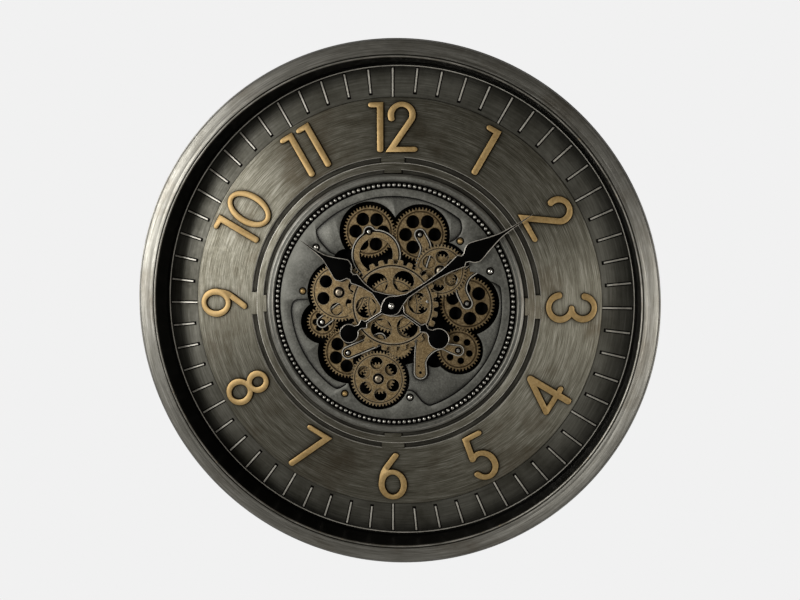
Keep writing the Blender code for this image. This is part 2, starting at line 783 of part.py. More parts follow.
def make_pillars():
    """Riveted posts between the two plates; their round heads show on the cover plate."""
    head_back = PLATE_FRONT + FIT
    for name, center in PILLAR_CENTRES.items():
        profile = [
            (0, BACK_PLATE_FRONT + FIT),
            (PILLAR_RADIUS, BACK_PLATE_FRONT + FIT),
            (PILLAR_RADIUS, PLATE_BACK - FIT),
            (PILLAR_NECK, PLATE_BACK - FIT),
            (PILLAR_NECK, head_back),
            (PILLAR_HEAD, head_back),
            (PILLAR_HEAD * 0.8, head_back + 1.5 * MM),
            (0, head_back + 2.4 * MM),
        ]
        mesh = turned_mesh("pillar_" + name, profile, SMALL_STEPS)
        place_piece("pillar_" + name, mesh, BRIGHT_STEEL, center)


def arbor_mesh(name, front, boss_back=None):
    """A plain arbor, or one with a wider stud in front of its wheel."""
    back = BACK_PLATE_DEPTH + FIT
    if boss_back is None:
        return rod_mesh(name, ARBOR_RADIUS, back, front, SMALL_STEPS)
    profile = [
        (0, back),
        (ARBOR_RADIUS, back),
        (ARBOR_RADIUS, boss_back),
        (STUD_RADIUS, boss_back),
        (STUD_RADIUS, front - 1.0 * MM),
        (STUD_RADIUS * 0.6, front),
        (0, front),
    ]
    return turned_mesh(name, profile, SMALL_STEPS)


def wheel_loops(wheel, holes=HOLE_COUNT, radius=HOLE_RADIUS, turn=0.0, tip=0.0):
    loops = [gear_outline(TEETH[wheel], GEAR_MODULE, PHASE[wheel], tip)]
    reach = GEAR_MODULE * (TEETH[wheel] / 2 - DEDENDUM) - HOLE_RIM - radius
    for k in range(holes):
        loops.append(circle(polar(reach, turn + 360 * k / holes), radius, SMALL_STEPS, turn))
    return loops


def make_wheel(name, wheel, layer, front, stud=False, small=False, turn=0.0, pinion=None, tooth_tip=0.0):
    """One wheel with its arbor and, where it has one, the pinion behind it."""
    radius = SMALL_HOLE_RADIUS if small else HOLE_RADIUS
    loops = wheel_loops(wheel, radius=radius, turn=turn, tip=tooth_tip)
    meshes = [flat_mesh(name, loops, layer, WHEEL_THICKNESS)]
    if pinion:
        outline = gear_outline(TEETH[pinion], GEAR_MODULE, PHASE[pinion])
        meshes.append(flat_mesh(name + "_pinion", [outline], REAR_LAYER, WHEEL_THICKNESS))
    piece = place_piece(name, gather(name, meshes), BRASS, CENTER[wheel])
    boss = layer + WHEEL_THICKNESS / 2 if stud else None
    add(piece, arbor_mesh(name + "_arbor", front, boss))


def make_train():
    rear = REAR_LAYER
    cocked = COCK_FRONT + 0.7 * MM
    stud = FRONT_LAYER + WHEEL_THICKNESS + 2.0 * MM
    make_wheel("top_left_gear", "top_left", rear, cocked, turn=35)
    make_wheel("top_right_gear", "top_right", rear, cocked, turn=0)
    make_wheel("right_gear", "right", rear, cocked, turn=28)
    make_wheel("lower_left_gear", "lower_left", rear, cocked, turn=10)
    make_wheel("lower_left_small_gear", "lower_left_small", rear, cocked, small=True)
    make_wheel("lower_right_gear", "lower_right", rear, BRACKET_FRONT + 0.6 * MM, small=True, turn=20)
    make_wheel("left_gear", "left", FRONT_LAYER, stud, stud=True, turn=15)
    make_wheel("upper_right_gear", "upper_right", FRONT_LAYER, stud, stud=True, turn=22,
               pinion="upper_right_pinion")
    make_wheel("bottom_gear", "bottom", FRONT_LAYER, stud, stud=True, turn=25,
               pinion="bottom_pinion")
    for name, wheel in (("idler_gear", "idler"), ("drive_pinion", "drive")):
        outline = gear_outline(TEETH[wheel], GEAR_MODULE, PHASE[wheel])
        mesh = flat_mesh(name, [outline], FRONT_LAYER, WHEEL_THICKNESS)
        piece = place_piece(name, mesh, BRASS, CENTER[wheel])
        back = BACK_PLATE_DEPTH + FIT if wheel == "idler" else BOX_FRONT - 6 * MM
        front = FRONT_LAYER + WHEEL_THICKNESS + 0.5 * MM
        add(piece, rod_mesh(name + "_arbor", ARBOR_RADIUS, back, front, SMALL_STEPS))


def make_central_gear():
    """Coarse front wheel and fine rear wheel on one tube that turns on the movement's bush."""
    bore = BUSH_RADIUS + RUNNING
    tube = bore + 3.4 * MM
    middle = (bore + tube) / 2
    coarse = [gear_outline(COARSE_TEETH, COARSE_MODULE, 2.0, 0.36, 0.28)]
    for k in range(HOLE_COUNT):
        coarse.append(circle(polar(COARSE_OPENING_REACH, 5 + 60 * k), COARSE_OPENING, ROUND_STEPS - 2))
    coarse.append(circle((0, 0), middle, ROUND_STEPS))
    fine = wheel_loops("central", turn=35)
    fine.append(circle((0, 0), middle, ROUND_STEPS))
    meshes = [
        flat_mesh("coarse", coarse, COARSE_LAYER, WHEEL_THICKNESS),
        flat_mesh("fine", fine, FRONT_LAYER, WHEEL_THICKNESS),
    ]
    piece = place_piece("central_gear", gather("central_gear", meshes), BRASS)
    back = BACK_PLATE_FRONT + FIT
    front = COARSE_FRONT + 0.6 * MM
    profile = [(tube, back), (tube, front), (bore, front), (bore, back)]
    add(piece, turned_mesh("central_tube", profile, ROUND_STEPS))


def make_cock(name, path, width, posts, pivot, back=COCK_BACK, thickness=COCK_THICKNESS):
    """A flat arm with a pivot hole at its free end, standing on posts from the back plate."""
    hole = circle(pivot, PIVOT_HOLE, SMALL_STEPS)
    piece = place_piece(name, flat_mesh(name, [stroke(path, width, 6), hole], back, thickness), BRASS)
    foot = BACK_PLATE_FRONT + FIT
    meshes = [rod_mesh("post", POST_RADIUS, foot, back + thickness / 2, SMALL_STEPS, post) for post in posts]
    add(piece, gather(name + "_posts", meshes))


def make_cocks():
    pivot = CENTER["top_right"]
    knee = pivot + Vector((7 * MM, -16 * MM))
    foot = pivot + polar(outer_radius("top_right") + POST_RADIUS + 2 * MM, -87.5)
    make_cock("top_right_cock", [pivot, knee, foot], COCK_WIDTH, [foot], pivot)

    pivot = CENTER["right"]
    foot = pivot + polar(outer_radius("right") + POST_RADIUS + 8 * MM, 77)
    path = [pivot, pivot + Vector((-7 * MM, 17 * MM)), pivot + Vector((-2 * MM, 33 * MM)), foot]
    make_cock("right_cock", path, COCK_WIDTH, [foot], pivot)

    pivot = CENTER["lower_left_small"]
    foot = pivot + polar(outer_radius("lower_left_small") + POST_RADIUS + 5.5 * MM, 38)
    make_cock("lower_left_small_cock", [pivot, foot], COCK_WIDTH, [foot], pivot)

    pivot = CENTER["lower_left"]
    foot = pivot + polar(outer_radius("lower_left") + POST_RADIUS + 8.5 * MM, 24)
    make_cock("lower_left_cock", [pivot, foot], COCK_WIDTH + 2 * MM, [foot], pivot)


def make_top_left_bridge():
    """Horseshoe bridge in front of the top left wheel; its ear holds that wheel's pivot."""
    pivot = CENTER["top_left"]
    center = pivot + polar(BRIDGE_DROP, BRIDGE_BEARING)
    start = -90 + BRIDGE_MOUTH / 2
    end = 270 - BRIDGE_MOUTH / 2
    outer = arc(center, BRIDGE_RADIUS, start, end, 24)
    inner = arc(center, BRIDGE_BORE, end, start, 20)
    mesh = flat_mesh("top_left_bridge", [outer + inner], COCK_BACK, COCK_THICKNESS)
    piece = place_piece("top_left_bridge", mesh, BRASS)
    ear = rod_mesh("ear", COCK_WIDTH / 2, COCK_BACK + 0.04 * MM, COCK_FRONT - 0.04 * MM, ROUND_STEPS - 4, pivot)
    add(piece, ear)
    foot = BACK_PLATE_FRONT + FIT
    middle = (BRIDGE_RADIUS + BRIDGE_BORE) / 2
    posts = [center + polar(middle, start + 8), center + polar(middle, end - 8)]
    meshes = [rod_mesh("post", POST_RADIUS, foot, COCK_BACK + COCK_THICKNESS / 2, SMALL_STEPS, post)
              for post in posts]
    add(piece, gather("bridge_posts", meshes))
    cut(piece, rod_mesh("pivot", PIVOT_HOLE, COCK_BACK - 1 * MM, COCK_FRONT + 1 * MM, SMALL_STEPS, pivot))


def make_lower_right_bracket():
    """Long bracket screwed to the cover plate, with a curved arm out to the lower right wheel and
    a broad body that runs up under the coarse wheel."""
    pivot = CENTER["lower_right"]
    end = COCK_WIDTH / 2
    foot = CENTER["bottom"] + Vector((outer_radius("bottom") + 17.0 * MM, 9.0 * MM))
    toe = 8.0 * MM
    outline = arc(pivot, end, 85, -110, 7)
    outline += [pivot + Vector((x * MM, y * MM)) for x, y in ((-10.5, -3.2), (-19.3, 0.4), (-27.0, -1.8))]
    outline += [pivot + Vector((x * MM, y * MM)) for x, y in ((-34.0, -8.0), (-37.6, -15.0))]
    outline += arc(foot, toe, 0, -180, 6)
    outline += [foot + Vector((x * MM, y * MM)) for x, y in ((-7.4, 24.0), (-6.0, 40.0))]
    outline += [pivot + Vector((x * MM, y * MM)) for x, y in ((-43.5, 24.5), (-39.5, 27.0), (-35.5, 25.5))]
    outline += [pivot + Vector((x * MM, y * MM)) for x, y in ((-32.0, 19.0), (-30.0, 12.5), (-25.5, 8.6))]
    outline += [pivot + Vector((-11.0 * MM, 8.2 * MM))]
    holes = [circle(pivot, PIVOT_HOLE, SMALL_STEPS)]
    holes.append(circle(foot, 1.8 * MM, SMALL_STEPS))
    holes.append(circle(foot + Vector((-2 * MM, 8 * MM)), 1.2 * MM, SMALL_STEPS))
    mesh = flat_mesh("lower_right_bracket", [outline] + holes, BRACKET_BACK, PLATE_THICKNESS)
    place_piece("lower_right_bracket", mesh, BRASS)


def hand_outline(length, boss, tail, disc, leaf_end, leaf_width, spade_width):
    """Outline of a spade hand pointing along +Y. The widths are half widths; one side is drawn
    from the tail disc to the tip and then mirrored."""
    rod = HAND_ROD / 2
    collar = HAND_COLLAR / 2
    neck = -tail + disc
    half = [(0, -tail - disc)]
    half += [(disc * math.sin(math.radians(a)), -tail - disc * math.cos(math.radians(a))) for a in (35, 70, 105, 140, 164)]
    half += [(rod * 1.9, neck + 4.0 * MM), (collar, neck + 10.0 * MM), (rod, neck + 14.0 * MM)]
    half += [(rod * 1.1, -boss * 1.5), (boss * 0.55, -boss * 0.95), (boss * 0.95, -boss * 0.35)]
    half += [(boss * 0.98, boss * 0.25), (boss * 0.62, boss * 0.95), (boss * 0.25, boss * 1.9)]
    half += [(rod * 1.2, leaf_end * 0.5), (leaf_width * 0.5, leaf_end * 0.78), (leaf_width, leaf_end)]
    half += [(leaf_width * 0.6, leaf_end + 3.2 * MM), (leaf_width * 0.72, leaf_end + 7.0 * MM)]
    shoulder = leaf_end + 11.5 * MM
    widest = leaf_end + 17.0 * MM
    half += [(spade_width * 0.84, shoulder), (spade_width, widest)]
    for share, width in ((0.07, 0.93), (0.2, 0.65), (0.32, 0.42), (0.45, 0.21), (0.62, 0.12)):
        half.append((spade_width * width, widest + share * (length - widest)))
    half.append((0, length))
    return [Vector(point) for point in half] + [Vector((-x, y)) for x, y in half[-2:0:-1]]


def make_hand(name, outline, back, bearing, core_outer, core_back, bore=None):
    """A hand with its tube or shaft; bearing is its clockwise angle from twelve o'clock."""
    loops = [outline]
    if bore:
        loops.append(circle((0, 0), (bore + core_outer) / 2, ROUND_STEPS))
    mesh = flat_mesh(name, loops, back, HAND_THICKNESS)
    front = back + HAND_THICKNESS + 0.2 * MM
    if bore:
        profile = [(core_outer, core_back), (core_outer, front), (bore, front), (bore, core_back)]
    else:
        front = MINUTE_HAND_FRONT + 1.0 * MM
        profile = [(0, core_back), (core_outer, core_back), (core_outer, front), (0, front)]
    core = turned_mesh(name + "_core", profile, ROUND_STEPS)
    turn = Matrix.Rotation(math.radians(-bearing), 4, "Z")
    mesh.transform(turn)
    add(place_piece(name, mesh, HAND_BLACK), core)


def make_hands():
    minute_bearing = 6 * SHOWN_MINUTE
    hour_bearing = 30 * (SHOWN_HOUR + SHOWN_MINUTE / 60)
    hour = hand_outline(HOUR_HAND_LENGTH, HOUR_BOSS, HOUR_TAIL, HOUR_TAIL_DISC, HOUR_LEAF_END,
                        HOUR_LEAF_WIDTH, HOUR_SPADE_WIDTH)
    minute = hand_outline(MINUTE_HAND_LENGTH, MINUTE_BOSS, MINUTE_TAIL, MINUTE_TAIL_DISC, MINUTE_LEAF_END,
                          MINUTE_LEAF_WIDTH, MINUTE_SPADE_WIDTH)
    tube_bore = HOUR_TUBE - TUBE_WALL
    make_hand("hour_hand", hour, HOUR_HAND_BACK, hour_bearing, HOUR_TUBE, BOX_FRONT - 4 * MM, tube_bore)
    make_hand("minute_hand", minute, MINUTE_HAND_BACK, minute_bearing, MINUTE_SHAFT, BOX_FRONT - 9 * MM)
    seat = MINUTE_HAND_FRONT + 1.0 * MM + FIT
    profile = [(0, seat), (3.4 * MM, seat), (3.4 * MM, seat + 0.9 * MM), (2.0 * MM, seat + 2.0 * MM), (0, seat + 2.2 * MM)]
    place_piece("hand_nut", turned_mesh("hand_nut", profile, ROUND_STEPS - 4), BRIGHT_STEEL)


def bay_size(cells):
    """Length and height of a battery bay for cells that lie side by side across the clock."""
    clearance = 2 * CELL_CLEARANCE
    return CELL_LENGTH + clearance, 2 * CELL_RADIUS * cells + clearance


MOVEMENT_BAY = Vector((0, -MOVEMENT_SIDE / 2 + BAY_WALL + bay_size(1)[1] / 2))
DRIVE_BAY = Vector((DRIVE_LEFT + BAY_WALL + bay_size(2)[0] / 2, DRIVE_BOTTOM + BAY_WALL + bay_size(2)[1] / 2))
BAY_FLOOR = BOX_BACK + 2 * CELL_RADIUS + CELL_CLEARANCE
KNOB_CENTER = Vector((0, KNOB_OFFSET))


def bay_cutter(center, cells):
    length, height = bay_size(cells)
    low = (center.x - length / 2, center.y - height / 2, BOX_BACK - 1 * MM)
    return box_mesh("bay", low, (center.x + length / 2, center.y + height / 2, BAY_FLOOR))


def make_movement():
    """Quartz movement: a plastic box with the threaded bush for the hands and a battery bay."""
    half = MOVEMENT_SIDE / 2
    box = box_mesh("clock_movement", (-half, -half, BOX_BACK), (half, half, BOX_FRONT))
    movement = place_piece("clock_movement", box, BLACK_PLASTIC)
    add(movement, rod_mesh("bush", BUSH_RADIUS, BOX_FRONT - 1 * MM, BUSH_FRONT, ROUND_STEPS))
    bore = rod_mesh("bore", BUSH_BORE, BOX_FRONT - 10 * MM, BUSH_FRONT + 1 * MM, ROUND_STEPS)
    knob_bore = rod_mesh("knob_bore", 2.0 * MM, BOX_BACK - 1 * MM, BOX_BACK + 6 * MM, SMALL_STEPS, KNOB_CENTER)
    cut(movement, gather("movement_cuts", [bore, knob_bore, bay_cutter(MOVEMENT_BAY, 1)]))


def make_gear_drive():
    """Geared motor that turns the train, in one box with its two cells."""
    low = (DRIVE_LEFT, DRIVE_BOTTOM, BOX_BACK)
    drive = place_piece("gear_drive", box_mesh("gear_drive", low, (DRIVE_RIGHT, DRIVE_TOP, BOX_FRONT)), BLACK_PLASTIC)
    shaft = rod_mesh("shaft_bore", ARBOR_RADIUS + 0.6 * MM, BOX_FRONT - 7 * MM, BOX_FRONT + 1 * MM, SMALL_STEPS,
                     CENTER["drive"])
    cut(drive, gather("drive_cuts", [shaft, bay_cutter(DRIVE_BAY, 2)]))


def make_cells():
    """Three AA cells lying in their bays."""
    height = BAY_FLOOR - CELL_CLEARANCE / 2 - CELL_RADIUS
    rows = {
        "clock_cell": MOVEMENT_BAY,
        "drive_cell_upper": DRIVE_BAY + Vector((0, CELL_RADIUS)),
        "drive_cell_lower": DRIVE_BAY - Vector((0, CELL_RADIUS)),
    }
    for name, center in rows.items():
        body = CELL_LENGTH - 1.2 * MM
        radius = CELL_RADIUS - FIT / 2
        profile = [(0, 0), (radius, 0), (radius, body), (2.7 * MM, body), (2.7 * MM, CELL_LENGTH), (0, CELL_LENGTH)]
        mesh = turned_mesh(name, profile, 12)
        mesh.transform(Matrix.Rotation(math.pi / 2, 4, "Y"))
        mesh.transform(Matrix.Translation((center.x - CELL_LENGTH / 2, center.y, height)))
        place_piece(name, mesh, CELL_SHELL)


def door_window(center, cells):
    """Window in the rear pan over a battery bay."""
    length, height = bay_size(cells)
    half = Vector((length / 2 + WINDOW_MARGIN, height / 2 + 0.5 * MM))
    return rectangle(center.x - half.x, center.y - half.y, center.x + half.x, center.y + half.y)


DOORS = {
    "clock_battery_door": (MOVEMENT_BAY, 1, 1),
    "drive_battery_door": (DRIVE_BAY, 2, -1),
}


def make_doors():
    """Sliding shutters behind the windows; each slides sideways between two rails."""
    back = SHEET + FIT
    front = back + DOOR_THICKNESS
    for name, (center, cells, side) in DOORS.items():
        window = door_window(center, cells)
        low = Vector((window[0].x - DOOR_LAP, window[0].y - DOOR_LAP, back))
        high = Vector((window[2].x + DOOR_LAP, window[2].y + DOOR_LAP, front))
        door = place_piece(name, box_mesh(name, low, high), BLACK_PLASTIC)
        near = window[0].x if side > 0 else window[2].x
        edge = near + side * GRIP_MARGIN
        left = min(edge, edge + side * DOOR_GRIP)
        middle = (window[0].y + window[2].y) / 2
        grip = box_mesh("grip", (left, middle - 5 * MM, 0.3 * MM), (left + DOOR_GRIP, middle + 5 * MM, back + 0.5 * MM))
        add(door, grip)


def rail_meshes():
    """Two L-shaped rails for each door, long enough for the door to open."""
    meshes = []
    top = SHEET + FIT + DOOR_THICKNESS + FIT
    lip = top + 0.9 * MM
    for center, cells, side in DOORS.values():
        window = door_window(center, cells)
        left = window[0].x - DOOR_LAP
        right = window[2].x + DOOR_LAP
        travel = right - left - 2 * DOOR_LAP - 2 * GRIP_MARGIN - DOOR_GRIP
        if side > 0:
            right += travel
        else:
            left -= travel
        low = window[0].y - DOOR_LAP - FIT
        high = window[2].y + DOOR_LAP + FIT
        for edge, out in ((low, -1), (high, 1)):
            loop = rail_section(edge, out, top, lip)
            mesh = flat_mesh("rail", [loop], 0, right - left)
            mesh.transform(Matrix.Translation((left, 0, 0)) @ RAIL_TURN)
            meshes.append(mesh)
    return meshes


# Turns a section drawn in X and Y into one in Y and Z that runs along X
RAIL_TURN = Matrix(((0, 0, 1, 0), (1, 0, 0, 0), (0, 1, 0, 0), (0, 0, 0, 1)))


def rail_section(edge, out, top, lip):
    """Section of a rail: a wall beside the door and a lip over its edge."""
    outer = edge + out * RAIL_WALL
    inner = edge - out * 1.2 * MM
    return [(edge, SHEET / 2), (outer, SHEET / 2), (outer, lip), (inner, lip), (inner, top), (edge, top)]


def clipped(loop, height, side):
    """What a level line leaves of a closed loop: the part below it for side 1, above it for -1."""
    kept = []
    for a, b in zip(loop, loop[1:] + loop[:1]):
        if (height - a.y) * side >= 0:
            kept.append(a)
        if (height - a.y) * (height - b.y) < 0:
            kept.append(a.lerp(b, (height - a.y) / (b.y - a.y)))
    return kept


def make_rear_pan():
    """Rear pan: a floor with a straight top edge, its openings, door rails and posts to the dial."""
    loops = [clipped(circle((0, 0), PAN_RADIUS, CASE_STEPS), HANG_HEIGHT - HANG_SLOT, 1)]
    for center, cells, _ in DOORS.values():
        loops.append(door_window(center, cells))
    loops.append(circle(KNOB_CENTER, KNOB_HOLE, ROUND_STEPS - 4))
    half = SWITCH_KNOB / 2 + RUNNING
    loops.append(rectangle(SWITCH_X - half, SWITCH_Y - half, SWITCH_X + half + SWITCH_TRAVEL, SWITCH_Y + half))
    pan = place_piece("rear_pan", flat_mesh("rear_pan", loops, 0, SHEET), DARK_STEEL)
    meshes = rail_meshes()
    reach = DIAL_RADIUS - DIAL_POST_INSET
    for i in range(POST_COUNT):
        center = polar(reach, POST_BEARING + 360 * i / POST_COUNT)
        meshes.append(rod_mesh("post", DIAL_POST_RADIUS, SHEET / 2, DIAL_BACK - FIT, SMALL_STEPS, center))
    add(pan, gather("pan_fittings", meshes))


def make_pan_skirt():
    """Flanged ring that stands on the rear pan, with the strip that hangs on the wall screw."""
    back = SHEET + FIT
    inner = PAN_RADIUS - SHEET
    profile = [
        (PAN_RADIUS, back),
        (PAN_RADIUS, SKIRT_HEIGHT),
        (inner, SKIRT_HEIGHT),
        (inner, back + SHEET),
        (PAN_RADIUS - SKIRT_FLANGE, back + SHEET),
        (PAN_RADIUS - SKIRT_FLANGE, back),
    ]
    skirt = place_piece("pan_skirt", turned_mesh("pan_skirt", profile, CASE_STEPS), DARK_STEEL)
    strip = clipped(circle((0, 0), PAN_RADIUS - SHEET / 2, CASE_STEPS), HANG_HEIGHT, -1)
    add(skirt, flat_mesh("hanging_strip", [strip], back + 0.1 * MM, SHEET - 0.2 * MM))


def make_set_knob():
    """Time-setting knob on the back of the movement."""
    back = 0.5 * MM
    face = BOX_BACK - FIT
    profile = [(0, back), (KNOB_RADIUS, back), (KNOB_RADIUS, face), (1.5 * MM, face),
               (1.5 * MM, BOX_BACK + 5 * MM), (0, BOX_BACK + 5 * MM)]
    place_piece("set_knob", turned_mesh("set_knob", profile, ROUND_STEPS - 4), BLACK_PLASTIC, KNOB_CENTER)


def make_switch():
    """Slide switch that stops the gear drive."""
    half = SWITCH_KNOB / 2
    face = BOX_BACK - FIT
    low = (SWITCH_X - half - 1.5 * MM, SWITCH_Y - half - 1.5 * MM, SHEET + FIT)
    high = (SWITCH_X + half + 1.5 * MM, SWITCH_Y + half + 1.5 * MM, face)
    switch = place_piece("drive_switch", box_mesh("drive_switch", low, high), BLACK_PLASTIC)
    knob = box_mesh("knob", (SWITCH_X - half, SWITCH_Y - half, 0.3 * MM),
                    (SWITCH_X + half, SWITCH_Y + half, SHEET + 1.0 * MM))
    add(switch, knob)


def build_clock():
    make_bezel()
    make_well_ring()
    make_dial()
    make_numerals()
    make_module_ring()
    make_bead_ring()
    make_cover_plate()
    make_back_plate()
    make_pillars()
    make_train()
    make_central_gear()
    make_cocks()
    make_top_left_bridge()
    make_lower_right_bracket()
    make_hands()
    make_movement()
    make_gear_drive()
    make_cells()
    make_doors()
    make_rear_pan()
    make_pan_skirt()
    make_set_knob()
    make_switch()
    bpy.context.view_layer.update()


build_clock()
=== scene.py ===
# Looks for the gear wall clock. Pieces are drawn lying on their back, X right, Y up the dial
# and Z out from the wall, and are stood up as they are made.

import math

import bmesh
import bpy
from mathutils import Matrix, Vector
from mathutils.geometry import delaunay_2d_cdt


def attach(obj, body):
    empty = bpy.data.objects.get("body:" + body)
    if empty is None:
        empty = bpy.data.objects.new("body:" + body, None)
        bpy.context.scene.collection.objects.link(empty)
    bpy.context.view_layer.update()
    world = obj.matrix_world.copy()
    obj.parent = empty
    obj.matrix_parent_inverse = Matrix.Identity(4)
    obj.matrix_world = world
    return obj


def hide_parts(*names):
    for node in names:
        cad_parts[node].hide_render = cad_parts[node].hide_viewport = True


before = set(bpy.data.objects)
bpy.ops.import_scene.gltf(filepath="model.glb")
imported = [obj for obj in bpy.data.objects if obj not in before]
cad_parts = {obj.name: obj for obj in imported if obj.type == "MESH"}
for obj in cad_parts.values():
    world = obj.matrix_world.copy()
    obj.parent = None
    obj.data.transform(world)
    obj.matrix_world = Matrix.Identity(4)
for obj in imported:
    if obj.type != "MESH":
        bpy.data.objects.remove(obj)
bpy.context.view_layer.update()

mm = 0.001
slight = 0.05 * mm  # bevel of an edge that barely shows
stand = Matrix.Rotation(math.pi / 2, 4, "X")


# Outlines

def polar(radius, degrees):
    angle = math.radians(degrees)
    return Vector((radius * math.cos(angle), radius * math.sin(angle)))


def circle(center, radius, steps):
    return [Vector(center) + polar(radius, 360 * i / steps) for i in range(steps)]


def arc(center, reach, start, end, steps):
    wide, tall = reach if isinstance(reach, tuple) else (reach, reach)
    angles = [math.radians(start + (end - start) * i / steps) for i in range(steps + 1)]
    return [Vector((center[0] + wide * math.cos(a), center[1] + tall * math.sin(a))) for a in angles]


def area(loop):
    return sum(a.x * b.y - b.x * a.y for a, b in zip(loop, loop[1:] + loop[:1])) / 2


def directed(loops):
    # The first loop counter-clockwise and its holes clockwise, so that metal is on the left
    loops = [[Vector(point[:2]) for point in loop] for loop in loops]
    return [loop if (area(loop) > 0) == (k == 0) else loop[::-1] for k, loop in enumerate(loops)]


def inset(loop, distance):
    # Moves every corner of a closed loop to its left
    moved = []
    for before, point, after in zip(loop[-1:] + loop[:-1], loop, loop[1:] + loop[:1]):
        first = (point - before).normalized()
        second = (after - point).normalized()
        a = Vector((-first.y, first.x))
        b = Vector((-second.y, second.x))
        moved.append(point + (a + b) * distance / max(0.35, 1 + a.dot(b)))
    return moved


def stroke(path, width, capSteps):
    # Outline of a line of one width with round ends
    path = [Vector(point) for point in path]
    half = width / 2
    left = []
    right = []
    for i, point in enumerate(path):
        before = (point - path[i - 1]).normalized() if i else None
        after = (path[i + 1] - point).normalized() if i + 1 < len(path) else None
        along = ((before or after) + (after or before)).normalized()
        normal = Vector((-along.y, along.x))
        stretch = 1.0
        if before is not None and after is not None:
            stretch = 1.0 / max(0.5, normal.dot(Vector((-before.y, before.x))))
        left.append(point + normal * half * stretch)
        right.append(point - normal * half * stretch)

    def cap(center, normal):
        turn = math.degrees(math.atan2(normal.y, normal.x))
        return [center + polar(half, turn - 180 * k / capSteps) for k in range(1, capSteps)]

    head = path[-1] - path[-2]
    tail = path[0] - path[1]
    return (left + cap(path[-1], Vector((-head.y, head.x))) + right[::-1]
            + cap(path[0], Vector((-tail.y, tail.x))))


def curved(points, steps):
    # Smooth line through the points
    points = [Vector(point) for point in points]
    padded = [points[0] * 2 - points[1]] + points + [points[-1] * 2 - points[-2]]
    line = []
    for a, b, c, d in zip(padded, padded[1:], padded[2:], padded[3:]):
        for i in range(steps):
            t = i / steps
            line.append(0.5 * (2 * b + (c - a) * t + (2 * a - 5 * b + 4 * c - d) * t * t
                               + (3 * b - a - 3 * c + d) * t ** 3))
    return line + [points[-1]]


def eased(points, cut, rounds):
    # Rounds the corners of a closed loop by cutting a share off each side
    for _ in range(rounds):
        points = [corner for a, b in zip(points, points[1:] + points[:1])
                  for corner in (a.lerp(b, cut), a.lerp(b, 1 - cut))]
    return points


def hoops(steps, *radii):
    return [circle((0, 0), radius, steps) for radius in radii]


def scaled(points, lift=0.0):
    return [(r * mm, lift + z * mm) for r, z in points]


# Solids

class Shape:
    # Gathers the faces of one piece, each with the number of its material

    def __init__(self):
        self.points = []
        self.faces = []
        self.slots = []

    def put(self, points, faces, numbers):
        start = len(self.points)
        self.points += points
        self.faces += [[start + k for k in face] for face in faces]
        self.slots += numbers
        return self

    def plate(self, loops, back, front, bevel, drop=None, slots=(0, 1, 2)):
        # Flat piece with a chamfer round its front; slots are face, chamfer and side
        loops = directed(loops)
        drop = bevel if drop is None else drop
        points = []
        faces = []
        numbers = []
        tops = []
        feet = []
        rings = []
        for loop in loops:
            start = len(points)
            count = len(loop)
            top = inset(loop, bevel)
            points += [(p.x, p.y, back) for p in loop]
            points += [(p.x, p.y, front - drop) for p in loop]
            points += [(p.x, p.y, front) for p in top]
            for row, slot in ((0, slots[2]), (1, slots[1])):
                for k in range(count):
                    a = start + row * count + k
                    b = start + row * count + (k + 1) % count
                    faces.append((a, b, b + count, a + count))
                    numbers.append(slot)
            order = list(range(len(feet), len(feet) + count))
            rings.append(order[::-1] if rings else order)
            feet += [(start + k, p) for k, p in enumerate(loop)]
            tops += [(start + 2 * count + k, p) for k, p in enumerate(top)]
        for rim, flip, slot in ((tops, False, slots[0]), (feet, True, slots[2])):
            _, _, triangles, origins, _, owners = delaunay_2d_cdt([p for _, p in rim], [], rings, 1, 1e-8)
            for triple, owner in zip(triangles, owners):
                if owner == [0]:
                    faces.append([rim[origins[k][0]][0] for k in (triple[::-1] if flip else triple)])
                    numbers.append(slot)
        return self.put(points, faces, numbers)

    def turned(self, profile, steps, center=(0, 0), slots=0):
        # Ring or disc spun from a closed profile of (radius, height)
        count = len(profile)
        points = []
        for i in range(steps):
            for r, z in profile:
                spot = polar(r, 360 * i / steps)
                points.append((center[0] + spot.x, center[1] + spot.y, z))
        faces = []
        numbers = []
        for k in range(count):
            after = (k + 1) % count
            if max(profile[k][0], profile[after][0]) < 1e-7:
                continue
            for i in range(steps):
                a = i * count
                b = (i + 1) % steps * count
                faces.append((a + k, b + k, b + after, a + after))
                numbers.append(slots if isinstance(slots, int) else slots[k])
        return self.put(points, faces, numbers)

    def mesh(self, name):
        data = bpy.data.meshes.new(name)
        data.from_pydata([tuple(point) for point in self.points], [], self.faces)
        data.polygons.foreach_set("material_index", self.slots)
        return data


def dress(name, data, materials, body, nodes, at=(0, 0), sharp=35):
    # Makes a piece of a mesh drawn flat about at, and lets it ride on its body
    shape = bmesh.new()
    shape.from_mesh(data)
    bmesh.ops.remove_doubles(shape, verts=shape.verts, dist=1e-6)
    bmesh.ops.recalc_face_normals(shape, faces=shape.faces)
    shape.to_mesh(data)
    shape.free()
    data.transform(stand)
    data.shade_smooth()
    data.set_sharp_from_angle(angle=math.radians(sharp))
    for material in materials:
        data.materials.append(material)
    piece = bpy.data.objects.new(name, data)
    bpy.context.scene.collection.objects.link(piece)
    piece.location = (at[0], 0, at[1])
    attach(piece, body)
    if nodes:
        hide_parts(*nodes)
    return piece


# Materials

def addNode(tree, kind, inputs=None, **settings):
    made = tree.nodes.new("ShaderNode" + kind)
    for key, value in settings.items():
        setattr(made, key, value)
    for key, value in (inputs or {}).items():
        if isinstance(value, bpy.types.NodeSocket):
            tree.links.new(value, made.inputs[key])
        else:
            made.inputs[key].default_value = value
    return made


